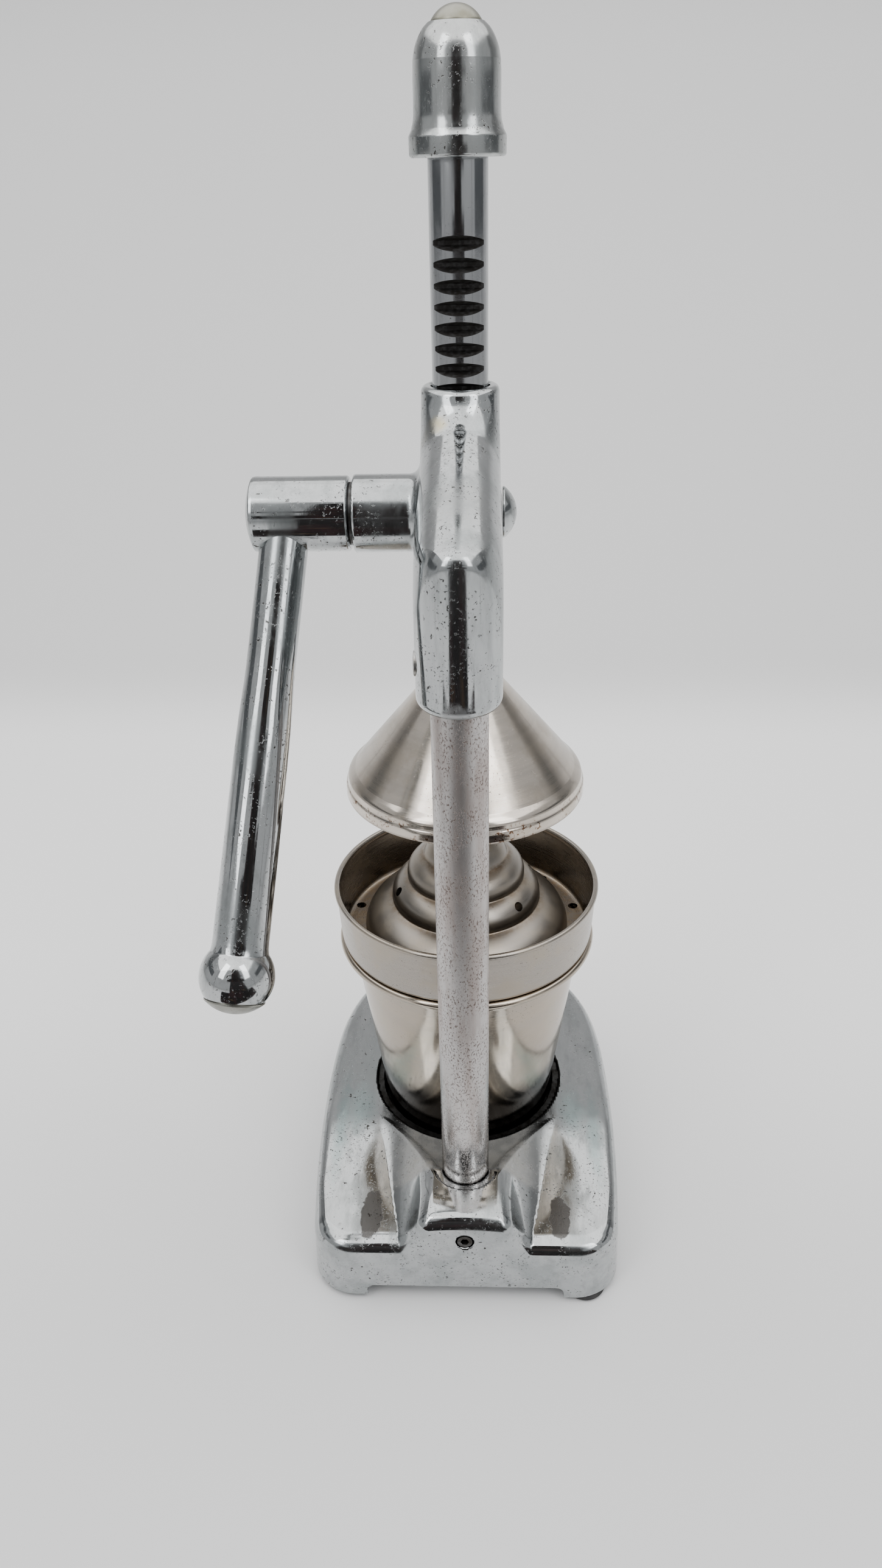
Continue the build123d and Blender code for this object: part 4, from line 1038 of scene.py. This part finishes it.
def cone_marks(f):
    """Rust specks round the cone's rim band, and a darker lowest edge."""
    z = f.height()
    specks = f.specks(1.3, 0.55, 0.60, 9.0, shift=14.0, patch=(0.48, 0.56))
    f.layer(f.times(f.ramp(z, 198.5, 194.5), specks), RUST, 0.9)
    # The lowest millimetre of the cone darker
    f.layer(f.ramp(z, 191.6, 190.6), (0.10, 0.085, 0.07, 1), 0.5)


def cup_painted_shade(f):
    """Painted shade on the lowest part of the cup, where it stands in the dark well."""
    ragged = f.times(f.noise(6.0, 4.0, 0.6, shift=33.0), 5.0)
    # Painted shade: the cup dark below about 60 millimetres up, with a ragged edge
    f.layer(f.ramp(f.plus(f.height(), ragged), 68.0, 54.0), CUP_SHADE, 0.97)


def rack_finish():
    """Bright bar with black grease in the notches."""
    f = Finish("rack_chrome")
    f.bump(f.noise(0.9, 3.0, 0.6), 0.006)
    below_skin = f.ramp(f.radius(), RACK_R - 0.04, RACK_R - 0.20)
    notch = f.times(below_skin, f.ramp(f.split()[1], 4.0, 4.6))
    haze = f.ramp(f.noise(9.0, 5.0, 0.6, stretch=(1.0, 1.0, 0.3)), 0.45, 0.68)
    grease = f.ramp(f.noise(1.5, 4.0, 0.6), 0.40, 0.72, 1.0, 0.88)
    f.start((0.40, 0.41, 0.42, 1), f.ramp(haze, 0.0, 1.0, 0.12, 0.24))
    f.layer(haze, (0.26, 0.265, 0.27, 1), 0.5)
    f.layer(f.specks(0.8, 0.64, 0.69, 12.0), (0.08, 0.07, 0.06, 1), 0.8)
    f.layer(notch, GREASE, grease, 0.25)
    return f.finish(f.ramp(notch, 0.0, 1.0, 1.0, 0.35))


WORN = (0.085, 0.08, 0.075, 1)
TEAL = (0.33, 0.40, 0.40, 1)
CRUD = (0.55, 0.49, 0.32, 1)

# Worn places on the castings. Each: place, half widths, colour, added roughness, softness of its edge
BASE_MARKS = (
    ((-38.5, 80.4, 33.0), (4.6, 11.0, 9.0), WORN, 0.16, 0.12),
    ((38.5, 80.6, 33.0), (4.8, 12.0, 9.0), WORN, 0.16, 0.12),
    ((48.0, 24.0, 35.0), (9.0, 22.0, 4.0), TEAL, 0.06, 0.9),
    ((-47.0, 26.0, 35.0), (8.0, 20.0, 4.0), TEAL, 0.06, 0.9),
    ((-56.0, 40.0, 35.0), (5.0, 40.0, 5.0), TEAL, 0.05, 0.9),
    ((56.0, 35.0, 35.0), (5.0, 45.0, 5.0), TEAL, 0.05, 0.9),
)
HEAD_MARKS = (
    ((6.5, 16.0, 334.5), (5.0, 6.5, 4.0), CRUD, 0.30, 0.9),
    ((9.5, 15.5, 329.0), (5.0, 5.0, 7.0), (0.36, 0.36, 0.34, 1), 0.18, 0.7),
    ((0.0, 54.0, 320.0), (14.0, 20.0, 10.0), (0.40, 0.41, 0.41, 1), 0.12, 0.9),
    ((0.0, 81.0, 256.0), (7.0, 6.0, 8.0), (0.40, 0.41, 0.41, 1), 0.30, 0.4),
)


def small_part_looks():
    """Finishes of the pieces that are small or mostly hidden."""
    bronze = plain("bronze", (0.45, 0.30, 0.14, 1), (0.30, 0.20, 0.10, 1), 1.0, 0.35)
    steel = plain("steel", (0.46, 0.46, 0.47, 1), (0.30, 0.29, 0.28, 1), 1.0, 0.36)
    dark = plain("dark_steel", (0.10, 0.10, 0.10, 1), (0.05, 0.045, 0.04, 1), 1.0, 0.42)
    zinc = plain("zinc_screw", (0.50, 0.50, 0.50, 1), (0.36, 0.34, 0.31, 1), 1.0, 0.34)
    rubber = plain("black_rubber", (0.020, 0.020, 0.020, 1), (0.040, 0.038, 0.036, 1), 0.0, 0.62)
    plug = plain("grey_plug", (0.30, 0.30, 0.27, 1), (0.22, 0.215, 0.19, 1), 0.85, 0.30, 4.0)
    cap_plug = plain("cap_plug_worn", (0.30, 0.295, 0.25, 1), (0.22, 0.21, 0.16, 1), 0.85, 0.36, 4.0)
    nodes_of = [
        (bronze, ("shaft_bush_outer", "shaft_bush_inner")),
        (steel, ("cone_backing_washer", "cone_washer", "pinion_shaft", "pinion_gear", "gear_key")),
        (dark, ("thrust_washer", "column_set_screw")),
        (zinc, ("head_set_screw", "cone_screw", "foot_screws", "cap_nut")),
        (rubber, ("rubber_feet",)),
        (plug, ("handle_end_plug",)),
        (cap_plug, ("top_cap_plug",)),
    ]
    return {node: look for look, nodes in nodes_of for node in nodes}


def materials():
    """Every CAD node's material."""
    base = chrome(
        "base_chrome", marks=BASE_MARKS, shade_and_grime=well_shade_and_grime, painted_reflection=channel_cup_reflection, grain=(1.0, 0.35, 1.0)
    )
    head = chrome("head_chrome", marks=HEAD_MARKS, wave=0.035)
    lever = chrome("lever_chrome", dull=0.06, wave=0.03)
    cap = chrome("cap_chrome", tone=(0.43, 0.44, 0.435, 1), dull=0.15, wave=0.06)
    cone = spun_steel("cone_steel", (0.62, 0.56, 0.49, 1), 0.13, cone_marks, line=0.0025, dent=0.06)
    bowl = spun_steel("bowl_steel", (0.355, 0.325, 0.29, 1), 0.25, bowl_residue_and_shade)
    reamer = spun_steel("reamer_steel", (0.28, 0.255, 0.225, 1), 0.30, reamer_marks)
    cup = spun_steel("cup_steel", (0.43, 0.375, 0.31, 1), 0.11, cup_painted_shade, 0.4, 0.0012, 0.03)
    return small_part_looks() | {
        "base_casting": base, "head_casting": head, "lever_hub": lever, "lever_rod": lever,
        "shaft_end_button": head, "top_cap": cap, "column": column_finish(), "rack_bar": rack_finish(),
        "press_cone": cone, "strainer_bowl": bowl, "reamer_cone": reamer, "juice_cup": cup,
    }


# ======================= Stage, light and camera =======================
BLACK = (0, 0, 0, 1)

# Backdrop, in metres
FLOOR_NEAR_Y = 4.0
FLOOR_HALF = 5.0
FLOOR_GAP = 0.0002  # keeps the floor just clear of the feet
BEND_Y = -0.50
BEND_R = 0.6
WALL_TOP_Z = 2.6


def stage_material(name, colour):
    """Matt, slightly uneven card."""
    f = Finish(name)
    f.start(BLACK, 0.9)
    f.layer(f.ramp(f.noise(60.0, 3.0), 0.3, 0.7, 0.985, 1.0), colour)
    return f.finish(0.0)


def backdrop_paper():
    """Pale paper with painted light: brightest beyond the press, with painted shade near the camera and up
    the wall.
    """
    f = Finish("backdrop_paper")
    _, y, z = f.split()
    # Painted light and shade: darker near the camera, at the foot of the bend and up the wall
    near = f.ramp(y, -150.0, 130.0, 1.0, 0.79)
    far = f.ramp(y, -580.0, -400.0, 0.74, 1.0)
    high = f.ramp(z, 480.0, 900.0, 1.0, 0.55)
    f.start(BLACK, 0.9)
    f.layer(f.times(near, far, high), (0.95, 0.95, 0.95, 1))
    return f.finish(0.0)


def backdrop():
    """Pale floor that curves up into a wall on the far side."""
    profile = [(FLOOR_NEAR_Y, 0.0), (0.2, 0.0), (BEND_Y, 0.0)]
    for i in range(1, 25):
        a = math.radians(90 * i / 24)
        profile.append((BEND_Y - BEND_R * math.sin(a), BEND_R * (1 - math.cos(a))))
    profile.append((BEND_Y - BEND_R, WALL_TOP_Z))
    verts = [(x, y, z - FLOOR_GAP) for y, z in profile for x in (-FLOOR_HALF, FLOOR_HALF)]
    faces = [(2 * i, 2 * i + 1, 2 * i + 3, 2 * i + 2) for i in range(len(profile) - 1)]
    mesh = bpy.data.meshes.new("backdrop")
    mesh.from_pydata(verts, [], faces)
    mesh.shade_smooth()
    obj = link(mesh, "backdrop")
    obj.matrix_world = TO_FRAME
    obj.data.materials.append(backdrop_paper())


def aimed(place, toward, axis):
    """Placement at a point, with the given axis turned towards another point."""
    turn = (Vector(toward) - Vector(place)).to_track_quat(axis, "Y")
    return TO_FRAME @ Matrix.Translation(place) @ turn.to_matrix().to_4x4()


def panel(name, centre, toward, width, height, look):
    """Flat card of the stage, facing a point; it shows only in reflections."""
    mesh = bpy.data.meshes.new(name)
    w, h = width / 2, height / 2
    mesh.from_pydata([(-w, -h, 0), (w, -h, 0), (w, h, 0), (-w, h, 0)], [], [(0, 1, 2, 3)])
    obj = link(mesh, name)
    obj.matrix_world = aimed(centre, toward, "Z")
    obj.data.materials.append(look)
    obj.visible_camera = False
    obj.visible_shadow = False
    obj.visible_diffuse = False


def area_light(name, place, toward, size, power, colour):
    """Soft box that faces a point."""
    light = bpy.data.lights.new(name, "AREA")
    light.shape = "RECTANGLE"
    light.size, light.size_y = size
    light.energy = power
    light.color = colour
    link(light, name).matrix_world = aimed(place, toward, "-Z")


WORLD_STRENGTH = 0.66


def world_light():
    """Even pale surroundings."""
    world = bpy.data.worlds.new("studio")
    world.use_nodes = True
    background = world.node_tree.nodes["Background"]
    background.inputs["Color"].default_value = (0.93, 0.94, 0.95, 1)
    background.inputs["Strength"].default_value = WORLD_STRENGTH
    bpy.context.scene.world = world


# Camera: place in metres, angles in radians, sensor and lens in millimetres
CAMERA_AT = Vector((-0.0087, 0.3984, 0.411))
CAMERA_TURN = 0.046
CAMERA_DOWN = 0.506
CAMERA_ROLL = -0.023
SENSOR = 36.0
LENS = 25.85


def camera():
    """Upright camera behind and above the press, as in the photo."""
    data = bpy.data.cameras.new("camera")
    data.sensor_fit = "VERTICAL"
    data.sensor_height = SENSOR
    data.lens = LENS
    data.clip_start = 0.01
    obj = link(data, "camera")
    st, ct = math.sin(CAMERA_TURN), math.cos(CAMERA_TURN)
    sd, cd = math.sin(CAMERA_DOWN), math.cos(CAMERA_DOWN)
    look = Vector((st * cd, -ct * cd, -sd))
    right = look.cross(Vector((0, 0, 1))).normalized()
    up = right.cross(look)
    sr, cr = math.sin(CAMERA_ROLL), math.cos(CAMERA_ROLL)
    right, up = cr * right + sr * up, cr * up - sr * right
    turn = Matrix((right, up, -look)).transposed().to_4x4()
    obj.matrix_world = TO_FRAME @ Matrix.Translation(CAMERA_AT) @ turn
    bpy.context.scene.camera = obj


def dark_cloth():
    """Nearly black cloth with dark red folds and a few brown patches, for the cards behind the camera."""
    f = Finish("dark_cloth")
    f.start((0.006, 0.005, 0.005, 1), 0.9)
    folds = f.noise(55.0, 3.0, 0.6, stretch=(1.0, 0.35, 1.0))
    f.layer(f.ramp(folds, 0.50, 0.62), (0.026, 0.010, 0.011, 1))
    f.layer(f.ramp(f.noise(40.0, 2.0, 0.5, shift=50.0), 0.64, 0.72), (0.07, 0.042, 0.022, 1))
    return f.finish(0.0)


def corner_seams():
    """Four thin dark upright strips in the corners of the room."""
    for side, x in (("left", 1), ("right", -1)):
        for end, place in (("near", (0.65 * x, 0.47, 0.5)), ("far", (0.63 * x, -0.49, 0.5))):
            name = f"seam_{side}_{end}"
            look = stage_material(name + "_card", (0.03, 0.03, 0.03, 1))
            panel(name, place, (0, 0, 0.5), 0.010, 1.6, look)


def dark_cards():
    """Dark upright cards behind the camera, where a person would stand. The lower ones lean."""
    cloth = dark_cloth()
    lean = math.radians(33)
    for name, centre, width, height, tilt in (
        ("dark_body", (0.0, 0.345, 0.155), 0.24, 0.38, lean),
        ("dark_hip_left", (0.15, 0.278, 0.065), 0.13, 0.155, lean),
        ("dark_hip_right", (-0.15, 0.278, 0.065), 0.13, 0.155, lean),
        ("dark_chest", (0.0, 0.47, 0.358), 0.40, 0.075, 0.0),
        ("dark_middle", (0.0, 0.47, 0.58), 0.22, 0.37, 0.0),
        ("dark_arms", (0.0, 0.465, 0.480), 0.40, 0.03, 0.0),
    ):
        toward = Vector(centre) + Vector((0, -math.cos(tilt), math.sin(tilt)))
        panel(name, centre, toward, width, height, cloth)


def side_cards_and_lights():
    """A grey card and a soft light on each side."""
    for side, x in (("left", 1), ("right", -1)):
        look = stage_material(f"grey_{side}_card", (0.10, 0.105, 0.11, 1))
        panel(f"grey_{side}", (0.75 * x, 0.02, 0.43), (0, 0.02, 0.43), 0.62, 0.18, look)
        area_light(side, (0.60 * x, 0.68, 1.0), (0, 0, 0.2), (0.35, 0.9), 3.6, (0.97, 0.98, 1.0))


def studio():
    """Backdrop, reflection cards, lights and camera."""
    backdrop()
    dark_cards()
    corner_seams()
    area_light("overhead", (0.0, -0.1, 1.5), (0, -0.1, 0), (2.8, 2.2), 37.0, (1.0, 0.99, 0.98))
    side_cards_and_lights()
    world_light()
    camera()


# ======================= Assembly =======================
# Boxes round the castings, and the size of the cells that their surfaces are drawn with
BASE_BOX = ((-67, -89, 1), (67, 97, 48))
BASE_CELL = 0.9
HEAD_BOX = ((-15, -14, 255), (37, 81, 346))
HEAD_CELL = 0.7


def skins():
    """Every shaped piece, by the CAD node it stands for."""
    made = [
        field_piece("base_casting_skin", base_field, *BASE_BOX, BASE_CELL),
        field_piece("head_casting_skin", head_field, *HEAD_BOX, HEAD_CELL),
        column_skin(), hub_skin(), rod_skin(), plug_skin(), button_skin(), washer_skin(), rack_bar(),
        cap_skin(), cap_plug_skin(), cone_skin(), bowl_skin(), reamer_skin(), cup_skin(), foot_skin(),
        head_screw_skin(), backing_washer_skin(),
    ]
    return {obj.name.removesuffix("_skin"): obj for obj in made}


def paint(obj, look):
    """Gives the object one material."""
    obj.data.materials.clear()
    obj.data.materials.append(look)


def main():
    """Puts the shapes on their bodies, gives every node its look and builds the studio."""
    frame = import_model()
    body_of = {n: b for b, names in frame["record"]["behaviour"]["bodies"].items() for n in names}
    looks = materials()
    shaped = skins()
    for node, obj in shaped.items():
        paint(obj, looks[node])
        obj.matrix_world = TO_FRAME
        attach(obj, body_of[node])
        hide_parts(node)
    for node, obj in frame["nodes"].items():
        paint(obj, looks[node])
    studio()


main()
